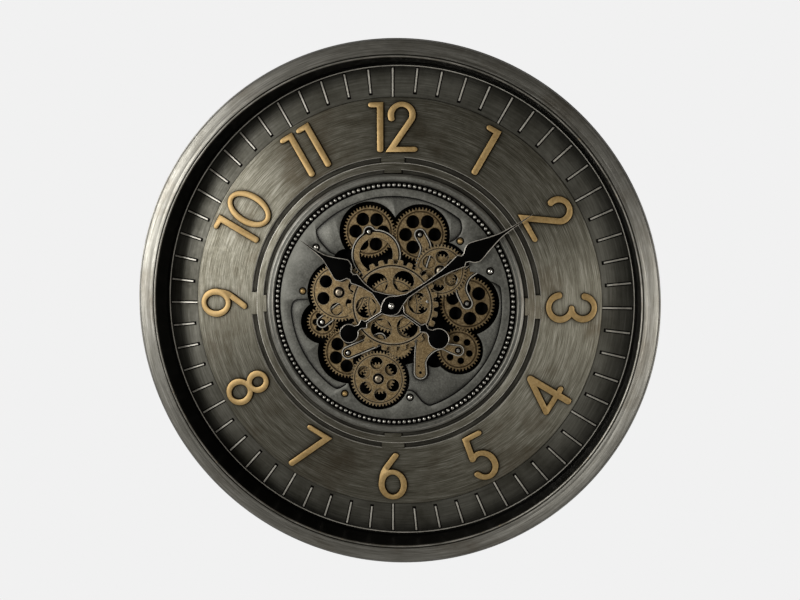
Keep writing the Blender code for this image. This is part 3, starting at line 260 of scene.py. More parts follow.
def newGroup(name, inputs, outputs):
    # Node group; inputs are (name, value), and outputs are (name, socket kind)
    group = bpy.data.node_groups.new(name, "ShaderNodeTree")
    for label, value in inputs:
        group.interface.new_socket(label, in_out="INPUT", socket_type="NodeSocketFloat").default_value = value
    for label, kind in outputs:
        group.interface.new_socket(label, in_out="OUTPUT", socket_type="NodeSocket" + kind)
    return group, group.nodes.new("NodeGroupInput").outputs, group.nodes.new("NodeGroupOutput").inputs


def mathNode(tree, operation, a, b=0.0):
    return addNode(tree, "Math", {0: a, 1: b}, operation=operation).outputs[0]


def times(tree, a, b):
    return mathNode(tree, "MULTIPLY", a, b)


def remapped(tree, value, low, high, least, most):
    return addNode(tree, "MapRange", {0: value, 1: low, 2: high, 3: least, 4: most}).outputs[0]


def noise(tree, place, scale, detail, rough):
    return addNode(tree, "TexNoise", {"Vector": place, "Scale": scale, "Detail": detail,
                                      "Roughness": rough}).outputs[0]


surfaceOutputs = [("Line", "Float"), ("Blotch", "Float"), ("Fleck", "Float"), ("Normal", "Vector")]


def finishSurface(group, inputs, outputs, values, height, relief):
    bump = addNode(group, "Bump", {"Strength": inputs["Depth"], "Distance": relief, "Height": height})
    for (label, _), value in zip(surfaceOutputs, values + (bump.outputs[0],)):
        group.links.new(value, outputs[label])
    return group


brushGrain = {
    "fine": 0.74, "broad": 0.26,  # shares of the fine lines and of the wide streaks
    "streakLength": 0.6, "streakPitch": 0.12,  # the streaks' frequencies against the lines'
    "blotches": 17.0, "flecks": 190.0,  # per metre
    "relief": 0.0004,
}


def makeBrushGroup(grain):
    # Fine lines that run round the clock's axis, with slow blotches under them
    group, inputs, outputs = newGroup("brushedRound", [("Pitch", 900.0), ("Length", 7.0), ("Depth", 0.25)],
                                      surfaceOutputs)
    place = addNode(group, "TexCoord").outputs["Object"]
    parts = addNode(group, "SeparateXYZ", {0: place}).outputs
    radius = mathNode(group, "SQRT", mathNode(group, "ADD", times(group, parts[0], parts[0]),
                                              times(group, parts[2], parts[2])))
    across = times(group, mathNode(group, "DIVIDE", parts[0], radius), inputs["Length"])
    up = times(group, mathNode(group, "DIVIDE", parts[2], radius), inputs["Length"])
    out = times(group, mathNode(group, "ADD", radius, parts[1]), inputs["Pitch"])
    lines = addNode(group, "CombineXYZ", {0: across, 1: up, 2: out}).outputs[0]
    fine = noise(group, lines, 1.0, 5.0, 0.65)
    streaks = addNode(group, "CombineXYZ", {0: times(group, across, grain["streakLength"]),
                                            1: times(group, up, grain["streakLength"]),
                                            2: times(group, out, grain["streakPitch"])}).outputs[0]
    broad = noise(group, streaks, 1.0, 3.0, 0.6)
    line = mathNode(group, "ADD", times(group, fine, grain["fine"]), times(group, broad, grain["broad"]))
    blotch = noise(group, place, grain["blotches"], 5.0, 0.6)
    fleck = noise(group, place, grain["flecks"], 4.0, 0.7)
    return finishSurface(group, inputs, outputs, (line, blotch, fleck), line, grain["relief"])


castGrain = {"flecks": 9.0, "fine": 0.6, "broad": 0.4, "relief": 0.0003}  # flecks: times the blotches' scale


def makeCastGroup(grain):
    # Mottled surface of lacquered or aged metal
    group, inputs, outputs = newGroup("agedCast", [("Scale", 60.0), ("Depth", 0.15)], surfaceOutputs)
    place = addNode(group, "TexCoord").outputs["Object"]
    blotch = noise(group, place, inputs["Scale"], 5.0, 0.6)
    fleck = noise(group, place, times(group, inputs["Scale"], grain["flecks"]), 5.0, 0.7)
    line = mathNode(group, "ADD", times(group, fleck, grain["fine"]), times(group, blotch, grain["broad"]))
    return finishSurface(group, inputs, outputs, (line, blotch, fleck), fleck, grain["relief"])


def makeCreviceGroup():
    # Painted shade and dirt: one in the open and falling to nought in corners, where shade falls and old dirt
    # stays
    group, inputs, outputs = newGroup("crevice", [("Reach", 0.004), ("Shut", 0.15), ("Clear", 0.85)],
                                      [("Open", "Float")])
    seen = addNode(group, "AmbientOcclusion", {"Distance": inputs["Reach"]}, samples=8).outputs["AO"]
    span = mathNode(group, "SUBTRACT", inputs["Clear"], inputs["Shut"])
    clear = addNode(group, "Math", {0: mathNode(group, "SUBTRACT", seen, inputs["Shut"]), 1: span},
                    operation="DIVIDE", use_clamp=True).outputs[0]
    group.links.new(clear, outputs["Open"])
    return group


def makePatchGroup():
    # Stained or worn patches where a mask runs high
    group, inputs, outputs = newGroup("patches", [("Mask", 0.5), ("From", 0.5), ("Full", 0.7), ("Most", 0.6)],
                                      [("Amount", "Float")])
    amount = remapped(group, inputs["Mask"], inputs["From"], inputs["Full"], 0.0, inputs["Most"])
    group.links.new(amount, outputs["Amount"])
    return group


brushGroup = makeBrushGroup(brushGrain)
castGroup = makeCastGroup(castGrain)
creviceGroup = makeCreviceGroup()
patchGroup = makePatchGroup()


def ramp(tree, factor, stops):
    made = addNode(tree, "ValToRGB", {0: factor})
    while len(made.color_ramp.elements) < len(stops):
        made.color_ramp.elements.new(0.5)
    for element, (place, color) in zip(made.color_ramp.elements, stops):
        element.position = place
        element.color = (*color, 1)
    return made.outputs[0]


def mixColor(tree, factor, a, b):
    made = addNode(tree, "Mix", {0: factor}, data_type="RGBA")
    for key, value in ((6, a), (7, b)):
        if isinstance(value, bpy.types.NodeSocket):
            tree.links.new(value, made.inputs[key])
        else:
            made.inputs[key].default_value = (*value, 1)
    return made.outputs[2]


# What a metal has where its own look says nothing else
plainLook = {
    "length": 7.0, "scale": 60.0, "depth": 0.15, "range": (0.35, 0.65), "metallic": 1.0, "specular": 0.5,
    "stainFrom": 0.5, "stainFull": 0.68, "stainMost": 0.6, "wornFrom": 0.58, "wornFull": 0.7, "wornMost": 0.8,
    "reach": 4 * mm, "crevice": (0.15, 0.85),
}


def makeMetal(name, look):
    # Lacquered or bare metal from dark, middle and pale tones and the colour of the painted shade and dirt in
    # corners; brushed metal also has a line pitch and a stretched gloss
    look = {**plainLook, **look}
    material = bpy.data.materials.new(name)
    material.use_nodes = True
    tree = material.node_tree
    shader = tree.nodes["Principled BSDF"]
    brushed = "pitch" in look
    surface = addNode(tree, "Group", node_tree=brushGroup if brushed else castGroup)
    if brushed:
        surface.inputs["Pitch"].default_value = look["pitch"]
        surface.inputs["Length"].default_value = look["length"]
        tangent = addNode(tree, "Tangent", direction_type="RADIAL", axis="Y")
        tree.links.new(tangent.outputs[0], shader.inputs["Tangent"])
        shader.inputs["Anisotropic"].default_value = look["stretch"]
        shader.inputs["Anisotropic Rotation"].default_value = 0.25  # gloss across the lines
    else:
        surface.inputs["Scale"].default_value = look["scale"]
    surface.inputs["Depth"].default_value = look["depth"]
    low, high = look["range"]
    color = ramp(tree, surface.outputs["Line"], list(zip((low, (low + high) / 2, high), look["tones"])))
    for layer, mask in (("stain", "Blotch"), ("worn", "Fleck")):
        if layer in look:
            patches = addNode(tree, "Group", node_tree=patchGroup)
            tree.links.new(surface.outputs[mask], patches.inputs["Mask"])
            for label in ("From", "Full", "Most"):
                patches.inputs[label].default_value = look[layer + label]
            color = mixColor(tree, patches.outputs["Amount"], color, look[layer])
    # Painted shade: corners, grooves and ground beside walls take the shade-and-dirt colour by ambient
    # occlusion
    if "shadeAndDirt" in look:
        shut, clear = look["crevice"]
        crevice = addNode(tree, "Group", node_tree=creviceGroup)
        for label, value in (("Reach", look["reach"]), ("Shut", shut), ("Clear", clear)):
            crevice.inputs[label].default_value = value
        color = mixColor(tree, crevice.outputs["Open"], look["shadeAndDirt"], color)
    rough = remapped(tree, surface.outputs["Fleck"], 0.3, 0.7, *look["rough"])
    tree.links.new(color, shader.inputs["Base Color"])
    tree.links.new(rough, shader.inputs["Roughness"])
    tree.links.new(surface.outputs["Normal"], shader.inputs["Normal"])
    shader.inputs["Metallic"].default_value = look["metallic"]
    shader.inputs["Specular IOR Level"].default_value = look["specular"]
    return material


# Tones are dark, middle and pale; stretch is how far gloss runs along the brushing
# The band's shade-and-dirt colour paints shade round the numerals and at the step
bandMetal = makeMetal("bandMetal", {
    "tones": ((0.066, 0.060, 0.043), (0.138, 0.130, 0.102), (0.26, 0.25, 0.21)),
    "stain": (0.055, 0.038, 0.020), "stainMost": 0.5, "shadeAndDirt": (0.016, 0.012, 0.006), "reach": 8 * mm,
    "crevice": (0.66, 0.99), "pitch": 1300.0, "length": 8.0, "stretch": 0.72, "rough": (0.41, 0.51),
    "depth": 0.3})
# Painted shadow: the near-black shade-and-dirt colour reaches 22 mm and darkens the track beside the well
# wall as the wall's cast shadow
trackMetal = makeMetal("trackMetal", {
    "tones": ((0.070, 0.068, 0.056), (0.098, 0.095, 0.080), (0.135, 0.131, 0.112)),
    "stain": (0.030, 0.028, 0.021), "stainFrom": 0.42, "stainMost": 0.75, "shadeAndDirt": (0.002, 0.002, 0.002),
    "reach": 22 * mm, "crevice": (0.45, 0.95), "pitch": 500.0, "length": 5.0, "stretch": 0.4,
    "rough": (0.45, 0.56), "depth": 0.06})
rimMetal = makeMetal("rimMetal", {
    "tones": ((0.15, 0.143, 0.122), (0.25, 0.242, 0.215), (0.38, 0.37, 0.335)), "stain": (0.11, 0.085, 0.055),
    "stainFrom": 0.52, "stainMost": 0.4, "shadeAndDirt": (0.02, 0.015, 0.01), "reach": 2.5 * mm,
    "crevice": (0.3, 0.95), "pitch": 900.0, "length": 7.0, "stretch": 0.78, "rough": (0.38, 0.47),
    "depth": 0.2})
rimWorn = makeMetal("rimWorn", {
    "tones": ((0.14, 0.132, 0.11), (0.27, 0.26, 0.23), (0.42, 0.40, 0.36)), "worn": (0.42, 0.29, 0.14),
    "wornFrom": 0.6, "wornMost": 0.45, "pitch": 500.0, "length": 12.0, "stretch": 0.6, "rough": (0.36, 0.5),
    "depth": 0.06})
# Painted shade: dark metal for the floors of grooves, standing for the shade in them
grooveShadeMetal = makeMetal("grooveShadeMetal", {
    "tones": ((0.016, 0.015, 0.012), (0.034, 0.032, 0.026), (0.065, 0.062, 0.052)),
    "shadeAndDirt": (0.002, 0.002, 0.0015), "reach": 3 * mm, "crevice": (0.35, 0.95), "pitch": 600.0, "length": 6.0,
    "stretch": 0.3, "rough": (0.45, 0.6), "depth": 0.1})
tickMetal = makeMetal("tickMetal", {
    "tones": ((0.24, 0.23, 0.20), (0.44, 0.42, 0.37), (0.60, 0.58, 0.52)), "worn": (0.45, 0.33, 0.17),
    "wornMost": 0.5, "scale": 70.0, "rough": (0.3, 0.45), "metallic": 0.5})
plateLook = {
    "tones": ((0.062, 0.062, 0.053), (0.105, 0.104, 0.091), (0.17, 0.168, 0.150)),
    "shadeAndDirt": (0.008, 0.007, 0.006), "reach": 4 * mm, "crevice": (0.4, 0.99), "scale": 45.0,
    "rough": (0.45, 0.58), "metallic": 0.8}
plateMetal = makeMetal("plateMetal", plateLook)
# Painted shade: a wide reach of shade-and-dirt colour darkens the sunk panels along their walls
panelMetal = makeMetal("panelMetal", {
    **plateLook, "shadeAndDirt": (0.003, 0.0027, 0.0022), "reach": 9 * mm, "crevice": (0.86, 1.0)})
edgeSilver = makeMetal("edgeSilver", {
    "tones": ((0.22, 0.21, 0.18), (0.42, 0.40, 0.35), (0.58, 0.56, 0.50)), "scale": 90.0,
    "rough": (0.3, 0.45), "metallic": 0.35})
brassLook = {
    "tones": ((0.095, 0.060, 0.026), (0.235, 0.168, 0.083), (0.38, 0.29, 0.16)),
    "stain": (0.06, 0.036, 0.016), "stainFrom": 0.47, "stainMost": 0.75, "shadeAndDirt": (0.010, 0.006, 0.003),
    "reach": 3.6 * mm, "crevice": (0.35, 0.98), "scale": 70.0, "rough": (0.36, 0.5), "metallic": 0.9,
    "range": (0.38, 0.62), "depth": 0.25}
agedBrass = makeMetal("agedBrass", brassLook)
# Painted shade: a darker copy of the brass for the rear row of wheels, which sit deeper in shade
rearShadeBrass = makeMetal("rearShadeBrass", {
    **brassLook, "tones": ((0.070, 0.046, 0.021), (0.185, 0.132, 0.067), (0.31, 0.235, 0.13)),
    "stain": (0.045, 0.028, 0.013), "stainFrom": 0.48, "stainMost": 0.7, "shadeAndDirt": (0.007, 0.0045, 0.0025),
    "reach": 4 * mm, "rough": (0.38, 0.52)})
edgeBrass = makeMetal("edgeBrass", {
    "tones": ((0.20, 0.155, 0.095), (0.38, 0.315, 0.215), (0.52, 0.455, 0.34)), "scale": 120.0,
    "rough": (0.32, 0.46), "metallic": 0.4})
# Painted shade: darker brass for side faces, posts and groove floors, which lie in shade
sideShadeBrass = makeMetal("sideShadeBrass", {
    "tones": ((0.022, 0.014, 0.008), (0.06, 0.042, 0.022), (0.14, 0.10, 0.055)),
    "shadeAndDirt": (0.005, 0.0035, 0.002), "reach": 3 * mm, "scale": 75.0, "rough": (0.42, 0.55)})
goldSatin = makeMetal("goldSatin", {
    "tones": ((0.235, 0.145, 0.048), (0.34, 0.225, 0.088), (0.43, 0.30, 0.135)), "shadeAndDirt": (0.05, 0.03, 0.011),
    "reach": 2 * mm, "crevice": (0.1, 0.9), "scale": 55.0, "rough": (0.4, 0.52), "metallic": 0.66,
    "range": (0.3, 0.7), "specular": 0.7})
goldEdge = makeMetal("goldEdge", {
    "tones": ((0.27, 0.19, 0.09), (0.46, 0.345, 0.19), (0.60, 0.49, 0.32)), "scale": 90.0,
    "rough": (0.3, 0.42), "metallic": 0.7})
handLacquer = makeMetal("handLacquer", {
    "tones": ((0.0004, 0.0004, 0.0004), (0.0007, 0.0007, 0.0006), (0.0014, 0.0013, 0.0011)), "scale": 50.0,
    "rough": (0.5, 0.62), "metallic": 0.0, "depth": 0.05, "specular": 0.015})
handEdge = makeMetal("handEdge", {
    "tones": ((0.14, 0.125, 0.10), (0.40, 0.37, 0.32), (0.60, 0.58, 0.52)), "worn": (0.42, 0.29, 0.14),
    "wornFrom": 0.6, "wornMost": 0.6, "rough": (0.26, 0.4), "metallic": 0.35})
glossBlack = makeMetal("glossBlack", {
    "tones": ((0.0012, 0.0012, 0.0011), (0.002, 0.002, 0.0017), (0.0038, 0.0036, 0.003)), "scale": 30.0,
    "rough": (0.3, 0.42), "metallic": 0.0, "depth": 0.05, "specular": 0.08})
beadMetal = makeMetal("beadMetal", {
    "tones": ((0.15, 0.145, 0.13), (0.33, 0.32, 0.29), (0.54, 0.53, 0.48)), "shadeAndDirt": (0.008, 0.007, 0.006),
    "reach": 3 * mm, "crevice": (0.2, 0.85), "scale": 110.0, "rough": (0.24, 0.36)})
brightSteel = makeMetal("brightSteel", {
    "tones": ((0.38, 0.36, 0.32), (0.60, 0.58, 0.53), (0.78, 0.76, 0.71)), "shadeAndDirt": (0.04, 0.035, 0.028),
    "reach": 3 * mm, "crevice": (0.15, 0.9), "scale": 110.0, "rough": (0.2, 0.32)})
studBrass = makeMetal("studBrass", {
    "tones": ((0.10, 0.08, 0.05), (0.24, 0.20, 0.145), (0.42, 0.37, 0.29)), "shadeAndDirt": (0.015, 0.011, 0.007),
    "reach": 2 * mm, "crevice": (0.2, 0.95), "scale": 160.0, "rough": (0.34, 0.48)})
shadowBlack = makeMetal("shadowBlack", {
    "tones": ((0.0008, 0.0007, 0.0006), (0.0015, 0.0013, 0.001), (0.003, 0.0026, 0.002)),
    "rough": (0.65, 0.8), "metallic": 0.0, "specular": 0.03})
darkSteel = makeMetal("darkSteel", {
    "tones": ((0.075, 0.075, 0.072), (0.115, 0.113, 0.108), (0.16, 0.157, 0.15)),
    "rough": (0.4, 0.55), "metallic": 0.0, "depth": 0.25, "specular": 0.45})
blackPlastic = makeMetal("blackPlastic", {
    "tones": ((0.008, 0.008, 0.008), (0.013, 0.013, 0.0135), (0.021, 0.021, 0.0215)), "scale": 120.0,
    "rough": (0.4, 0.5), "metallic": 0.0, "depth": 0.2, "specular": 0.4})
cellWrap = makeMetal("cellWrap", {
    "tones": ((0.16, 0.18, 0.20), (0.24, 0.26, 0.29), (0.33, 0.35, 0.38)), "scale": 80.0,
    "rough": (0.25, 0.35), "metallic": 0.6})


# Case and dial, in millimetres

def banded(sections):
    # Profile of (radius, height) points, and for each point the number of its material in looks
    profile = []
    slots = []
    for slot, points in sections:
        profile += scaled(points)
        slots += [slot] * len(points)
    return profile, slots


def makeSpun(name, piece, node):
    profile, slots = banded(piece["profile"])
    shape = Shape().turned(profile, piece["steps"], slots=slots)
    dress(name, shape.mesh(name), piece["looks"], "case", [node], sharp=piece["sharp"])


bezel = {
    "steps": 288, "sharp": 28, "looks": [rimMetal, rimWorn, grooveShadeMetal, edgeSilver, glossBlack, darkSteel],
    "profile": (
        (0, [(300, 0), (300, 70), (300, 75.4), (299.85, 75.7), (299.5, 76.0), (299.0, 76.05)]),
        (2, [(298.75, 75.8), (298.45, 75.85)]),
        (0, [(298.2, 76.4), (297.8, 76.9), (297.2, 77.2), (296.5, 77.35), (287.4, 77.95), (286.6, 77.6),
             (285.8, 77.65), (285.0, 77.95), (283.6, 78.0), (282.5, 77.75)]),
        (2, [(282.2, 77.3), (281.6, 76.9), (281.1, 76.95)]),
        (1, [(280.9, 77.5), (280.5, 77.8), (280.0, 77.8), (279.5, 77.55), (279.2, 77.1)]),
        (4, [(279.0, 76.6), (279.0, 73.4), (279.2, 72.9), (280.0, 72.8)]),
        (5, [(280, 76.7), (299, 76.0), (299, 0)])),
}
well = {
    "steps": 256, "sharp": 35, "looks": [glossBlack],
    "profile": ((0, [(279.8, 40.35), (279.8, 72.45), (281, 72.45), (281, 40.35)]),),
}
dial = {
    "steps": 288, "sharp": 28,
    "looks": [trackMetal, edgeSilver, bandMetal, grooveShadeMetal, tickMetal, plateMetal, shadowBlack],
    "profile": (
        (0, [(280.7, 38.8), (280.7, 39.9), (280.6, 40.0), (277.8, 40.0), (277.7, 40.5)]),
        (1, [(277.4, 40.7), (277.1, 40.65), (276.8, 40.3)]),
        (0, [(276.6, 40.0), (243.0, 40.0), (241.9, 40.05)]),
        (2, [(241.6, 40.35), (241.3, 40.8), (240.8, 41.1), (240.0, 41.2), (175.0, 41.2), (173.6, 41.2)]),
        (1, [(173.3, 41.15), (172.9, 40.7)]),
        (3, [(172.6, 39.4), (172.2, 39.0), (167.4, 39.0), (166.9, 39.3)]),
        (1, [(166.6, 40.8), (166.3, 41.15)]),
        (2, [(165.9, 41.2), (159.3, 41.2)]),
        (1, [(158.9, 41.15), (158.5, 40.8)]),
        (3, [(158.3, 39.3), (157.9, 39.0), (153.7, 39.0), (153.7, 37.8), (173.9, 37.8), (173.9, 40.0),
             (240.0, 40.0), (240.0, 38.8)])),
    "ticks": 60, "tickOuter": 274.4, "tickBack": 39.9,
    "tickInner": (241.7, 247.6),  # of the long ticks and the short ones
    # The second bar is a black bed of painted shadow round each tick
    "tickBars": (  # a bright bar on a dark bed
        {"before": 0, "past": 0, "half": 1.0, "front": 41.0, "bevel": 0.3, "slot": 4},
        {"before": 2.4, "past": 1.2, "half": 2.2, "front": 40.06, "bevel": 0.02, "slot": 6}),
    "tabs": ((165.4, 174.6, 28), (153.9, 159.6, 21)),  # inner and outer radius, and length
    "tabCount": 4, "tabBack": 38.9, "tabFront": 41.1, "tabBevel": 0.6, "tabDrop": 0.5,
}
moduleRing = {
    "steps": 256, "sharp": 28, "looks": [plateMetal, rimMetal, shadowBlack],
    "profile": (
        (0, [(159.88, 36.5), (159.88, 37.5), (153.38, 37.5), (153.38, 41.5)]),
        (1, [(153.2, 41.9), (152.8, 42.2)]),
        (0, [(151.7, 42.85)]),
        (1, [(151.4, 43.0), (150.9, 43.0)]),
        (0, [(150.2, 42.9), (147.6, 42.9)]),
        (1, [(147.0, 43.0), (146.4, 42.95)]),
        (0, [(145.9, 42.6), (144.9, 41.5)]),
        (2, [(144.5, 41.0), (144.48, 39.2), (132.0, 39.2), (132.0, 36.5)])),
}
beads = {
    "count": 145, "circle": 140.83, "height": 41.0, "radius": 2.3, "squash": 0.74,
    # The black ring under the beads shows between them as painted shadow
    "gapShade": [(141.6, 39.5), (141.6, 40.2), (140.0, 40.2), (140.0, 39.5)],
}


def block(bearing, inner, outer, half):
    # Rectangle that lies across a bearing, half a width to each side
    along = polar(mm, bearing)
    side = Vector((-along.y, along.x)) * half
    return [along * inner - side, along * outer - side, along * outer + side, along * inner + side]


def makeDial():
    profile, slots = banded(dial["profile"])
    shape = Shape().turned(profile, dial["steps"], slots=slots)
    for i in range(dial["ticks"]):
        short = i % 5 != 0
        for bar in dial["tickBars"]:
            inner = dial["tickInner"][short] - (bar["before"] if short else 0)
            loop = block(90 - 360 / dial["ticks"] * i, inner, dial["tickOuter"] + bar["past"], bar["half"])
            shape.plate([loop], dial["tickBack"] * mm, bar["front"] * mm, bar["bevel"] * mm,
                        slots=(bar["slot"], bar["slot"], 3))
    for i in range(dial["tabCount"]):
        for inner, outer, long in dial["tabs"]:
            shape.plate([block(360 / dial["tabCount"] * i, inner, outer, long / 2)], dial["tabBack"] * mm,
                        dial["tabFront"] * mm, dial["tabBevel"] * mm, dial["tabDrop"] * mm, slots=(2, 2, 3))
    dress("dial", shape.mesh("dial"), dial["looks"], "case", ["dial_plate"],
          sharp=dial["sharp"])


def makeBeads():
    shape = Shape()
    radius = beads["radius"] * mm
    ball = arc((0, beads["height"] * mm), (radius, radius * beads["squash"]), -90, 90, 7)
    for i in range(beads["count"]):
        shape.turned(ball, 14, polar(beads["circle"] * mm, 360 * i / beads["count"]))
    # Black ring between the beads: painted shadow
    shape.turned(scaled(beads["gapShade"]), 192, slots=1)
    dress("bead_string", shape.mesh("bead_string"), [beadMetal, shadowBlack], "case",
          ["bead_ring"], sharp=60)


makeSpun("bezel_rim", bezel, "bezel")
makeSpun("well_wall", well, "well_ring")
makeDial()
makeSpun("module_rim", moduleRing, "module_ring")
makeBeads()
print("case and dial made")


# Wheel train: tooth counts, and the bearing of each wheel from the one that drives it

train = {
    "module": 1.3 * mm, "past": 0.9, "deep": 1.2,  # the tooth above and below the pitch circle, in modules
    "tooth": (0.62, 0.44, 0.3),  # widths at foot, flank and tip as shares of the pitch
    "teeth": {"central": 50, "left": 52, "idler": 14, "drive": 24, "bottom": 50, "bottomPinion": 28,
              "lowerLeft": 46, "lowerLeftSmall": 28, "upperRight": 46, "upperRightPinion": 28,
              "topRight": 47, "topLeft": 46, "right": 48, "lowerRight": 38},
    "meshes": (("central", "left", 167.5), ("central", "idler", 6.5), ("central", "drive", -81.3),
               ("drive", "bottom", -120.9), ("bottomPinion", "lowerLeft", 141.0),
               ("lowerLeft", "lowerLeftSmall", 130.9), ("idler", "upperRight", 67.9),
               ("upperRightPinion", "topRight", 119.8), ("upperRightPinion", "right", -50.6),
               ("topRight", "topLeft", 176.9), ("right", "lowerRight", -99.9)),
    "rear": 35.4 * mm, "near": 39.7 * mm, "thick": 2 * mm,  # backs of the two rows of wheels
    "arborFoot": 24.8 * mm,
}


def layOutTrain():
    teeth = train["teeth"]
    center = {"central": Vector((0, 0))}
    phase = {"central": 0.0, "bottomPinion": 0.0, "upperRightPinion": 0.0}
    for driver, wheel, bearing in train["meshes"]:
        origin = center[driver]
        center[wheel] = origin + polar((teeth[driver] + teeth[wheel]) * train["module"] / 2, bearing)
        step = 360 / teeth[wheel] * (0.5 - (bearing - phase[driver]) * teeth[driver] / 360)
        phase[wheel] = bearing + 180 - step
        if wheel + "Pinion" in teeth:
            center[wheel + "Pinion"] = center[wheel]
    return center, phase


center, phase = layOutTrain()


def outerRadius(wheel):
    return train["module"] * (train["teeth"][wheel] / 2 + train["past"])


def rootRadius(wheel):
    return train["module"] * (train["teeth"][wheel] / 2 - train["deep"])


def toothLoop(count, outer, inner, turn, widths):
    # Teeth with rounded tips; the bare shares are of a tooth's height and of its tip
    pitch = 360 / count
    foot, flank, tip = widths
    loop = []
    for k in range(count):
        middle = turn + k * pitch
        sides = [(inner, foot), (inner + (outer - inner) * 0.45, flank),
                 (outer - (outer - inner) * 0.12, tip), (outer, tip * 0.55)]
        loop += [polar(r, middle - share * pitch / 2) for r, share in sides]
        loop += [polar(r, middle + share * pitch / 2) for r, share in reversed(sides)]
    return loop


def fineTeeth(wheel):
    return toothLoop(train["teeth"][wheel], outerRadius(wheel), rootRadius(wheel), phase[wheel],
                     train["tooth"])


def addPivot(shape, radius, back, front):
    # Arbor with a turned end and a centre mark
    tip = ((1, 0.5), (0.85, 0.12), (0.5, 0), (0.34, 0), (0.26, 0.25), (0, 0.3))  # share of radius, depth
    shape.turned([(0, back), (radius, back)] + [(radius * share, front - deep * mm) for share, deep in tip],
                 20, slots=5)


wheelForm = {
    "looks": [agedBrass, edgeBrass, sideShadeBrass, shadowBlack, studBrass, brightSteel],
    "rearLooks": [rearShadeBrass, agedBrass, sideShadeBrass, shadowBlack, studBrass, brightSteel],
    "hole": 7.6, "rim": 4.2,  # rim: metal between a hole and the foot of the teeth
    "floorLift": 0.2, "floorDrop": 0.8,  # of the groove's floor, from the back and the front
    # depths below the foot of the teeth: toothed ring, web, and both edges of the groove's floor
    "discs": (1.5, 2.8, 1.2, 3.1), "bevels": (0.3, 0.5), "pinionBevel": 0.26, "pivotPast": 0.5,
    "arbor": 2.1, "studArbor": 2.0, "studHole": 6.8, "studBed": 7.2, "studBedDrop": 1.2,
    "stud": [(0, 0), (4.4, 0), (4.4, 3.1), (4.0, 3.6), (3.1, 3.95), (1.5, 4.0), (1.1, 3.5), (0, 3.5)],
}
# Each wheel: the turn of its holes, and where a rear wheel's pivot ends; the others have a stud
wheels = {
    "top_left_gear": {"wheel": "topLeft", "turn": 58, "tip": 39.9},
    "top_right_gear": {"wheel": "topRight", "turn": 0, "tip": 39.9},
    "right_gear": {"wheel": "right", "turn": 41, "tip": 39.9},
    "lower_left_gear": {"wheel": "lowerLeft", "turn": 23, "tip": 39.9},
    "lower_left_small_gear": {"wheel": "lowerLeftSmall", "turn": 0, "tip": 39.9, "hole": 3.6, "rim": 4.5},
    "lower_right_gear": {"wheel": "lowerRight", "turn": 42, "tip": 43.4, "hole": 3.9, "rim": 5.9},
    "left_gear": {"wheel": "left", "turn": 21},
    "upper_right_gear": {"wheel": "upperRight", "turn": 22, "pinion": "upperRightPinion"},
    "bottom_gear": {"wheel": "bottom", "turn": 37, "pinion": "bottomPinion"},
}


def sixHoles(reach, radius, turn, steps=40):
    return [circle(polar(reach, turn + 60 * k), radius, steps) for k in range(6)]


def addDisc(shape, teeth, radii, holes, back, front, bevels, drop, slot=3, steps=96):
    # Toothed ring, web with holes, and the floor of the groove between them, dark with painted shade
    toothed, web, *floor = radii
    shape.plate([teeth] + hoops(steps, toothed), back, front, bevels[0] * mm)
    shape.plate(hoops(steps, web) + holes, back, front, bevels[1] * mm)
    shape.plate(hoops(steps, *floor), back + wheelForm["floorLift"] * mm, front - drop * mm, slight,
                slots=(slot, slot, slot))


def makeWheel(name, style):
    # Rear wheels end in a pivot at their tip, and near wheels have a stud
    form = {**wheelForm, **style}
    wheel = form["wheel"]
    studded = "tip" not in form
    back = train["near"] if studded else train["rear"]
    front = back + train["thick"]
    root = rootRadius(wheel)
    hole = form["hole"] * mm
    holes = sixHoles(root - form["rim"] * mm - hole, hole, form["turn"])
    shape = Shape()
    if studded:
        holes += hoops(40, form["studHole"] * mm)
        # Black bed round the stud: painted shadow in the stud's hole
        shape.plate(hoops(32, form["studBed"] * mm), back + form["floorLift"] * mm,
                    front - form["studBedDrop"] * mm, slight, slots=(3, 3, 3))
        shape.turned(scaled(form["stud"], back), 32, slots=4)
        addPivot(shape, form["studArbor"] * mm, train["arborFoot"], back + form["pivotPast"] * mm)
    else:
        addPivot(shape, form["arbor"] * mm, train["arborFoot"], form["tip"] * mm)
    radii = [root - deep * mm for deep in form["discs"]]
    addDisc(shape, fineTeeth(wheel), radii, holes, back, front, form["bevels"], form["floorDrop"], 2)
    if "pinion" in form:
        shape.plate([fineTeeth(form["pinion"])], train["rear"], train["rear"] + train["thick"],
                    form["pinionBevel"] * mm)
    dress(name + "_wheel", shape.mesh(name), form["looks" if studded else "rearLooks"], name,
          [name], center[wheel])


def makePinion(name, wheel):
    back = train["near"]
    front = back + train["thick"]
    shape = Shape()
    shape.plate([fineTeeth(wheel)], back, front, wheelForm["pinionBevel"] * mm)
    addPivot(shape, wheelForm["studArbor"] * mm, train["arborFoot"], front + wheelForm["pivotPast"] * mm)
    dress(name + "_wheel", shape.mesh(name), wheelForm["looks"], name, [name], center[wheel])


# The coarse wheel in front, with a bead inside its teeth, and the fine one behind, on one tube
centralWheel = {
    "teeth": 28, "outer": 54.38, "root": 49.2, "turn": 2.0, "tooth": (0.66, 0.58, 0.5),
    "back": 43.6, "front": 45.6, "discs": (47.6, 44.9, 48.0, 45.6), "bevels": (0.4, 0.38),
    "floorDrop": 0.8, "bead": (46.1, 44.8), "beadBevel": 0.45, "bore": 7.4,
    "hole": 12.6, "holeCircle": 31.2, "holeTurn": 5,
    "fineDiscs": (1.7, 2.5, 1.4, 2.8), "fineBevels": (0.26, 0.42), "fineFloorDrop": 0.7,
    "fineHole": 7.3, "fineHoleDeep": 11.5, "fineTurn": 35,  # deep: below the foot of the fine teeth
    "tube": [(7.8, 26.3), (7.8, 46.0), (7.5, 46.2), (4.4, 46.2), (4.4, 26.3)],
}


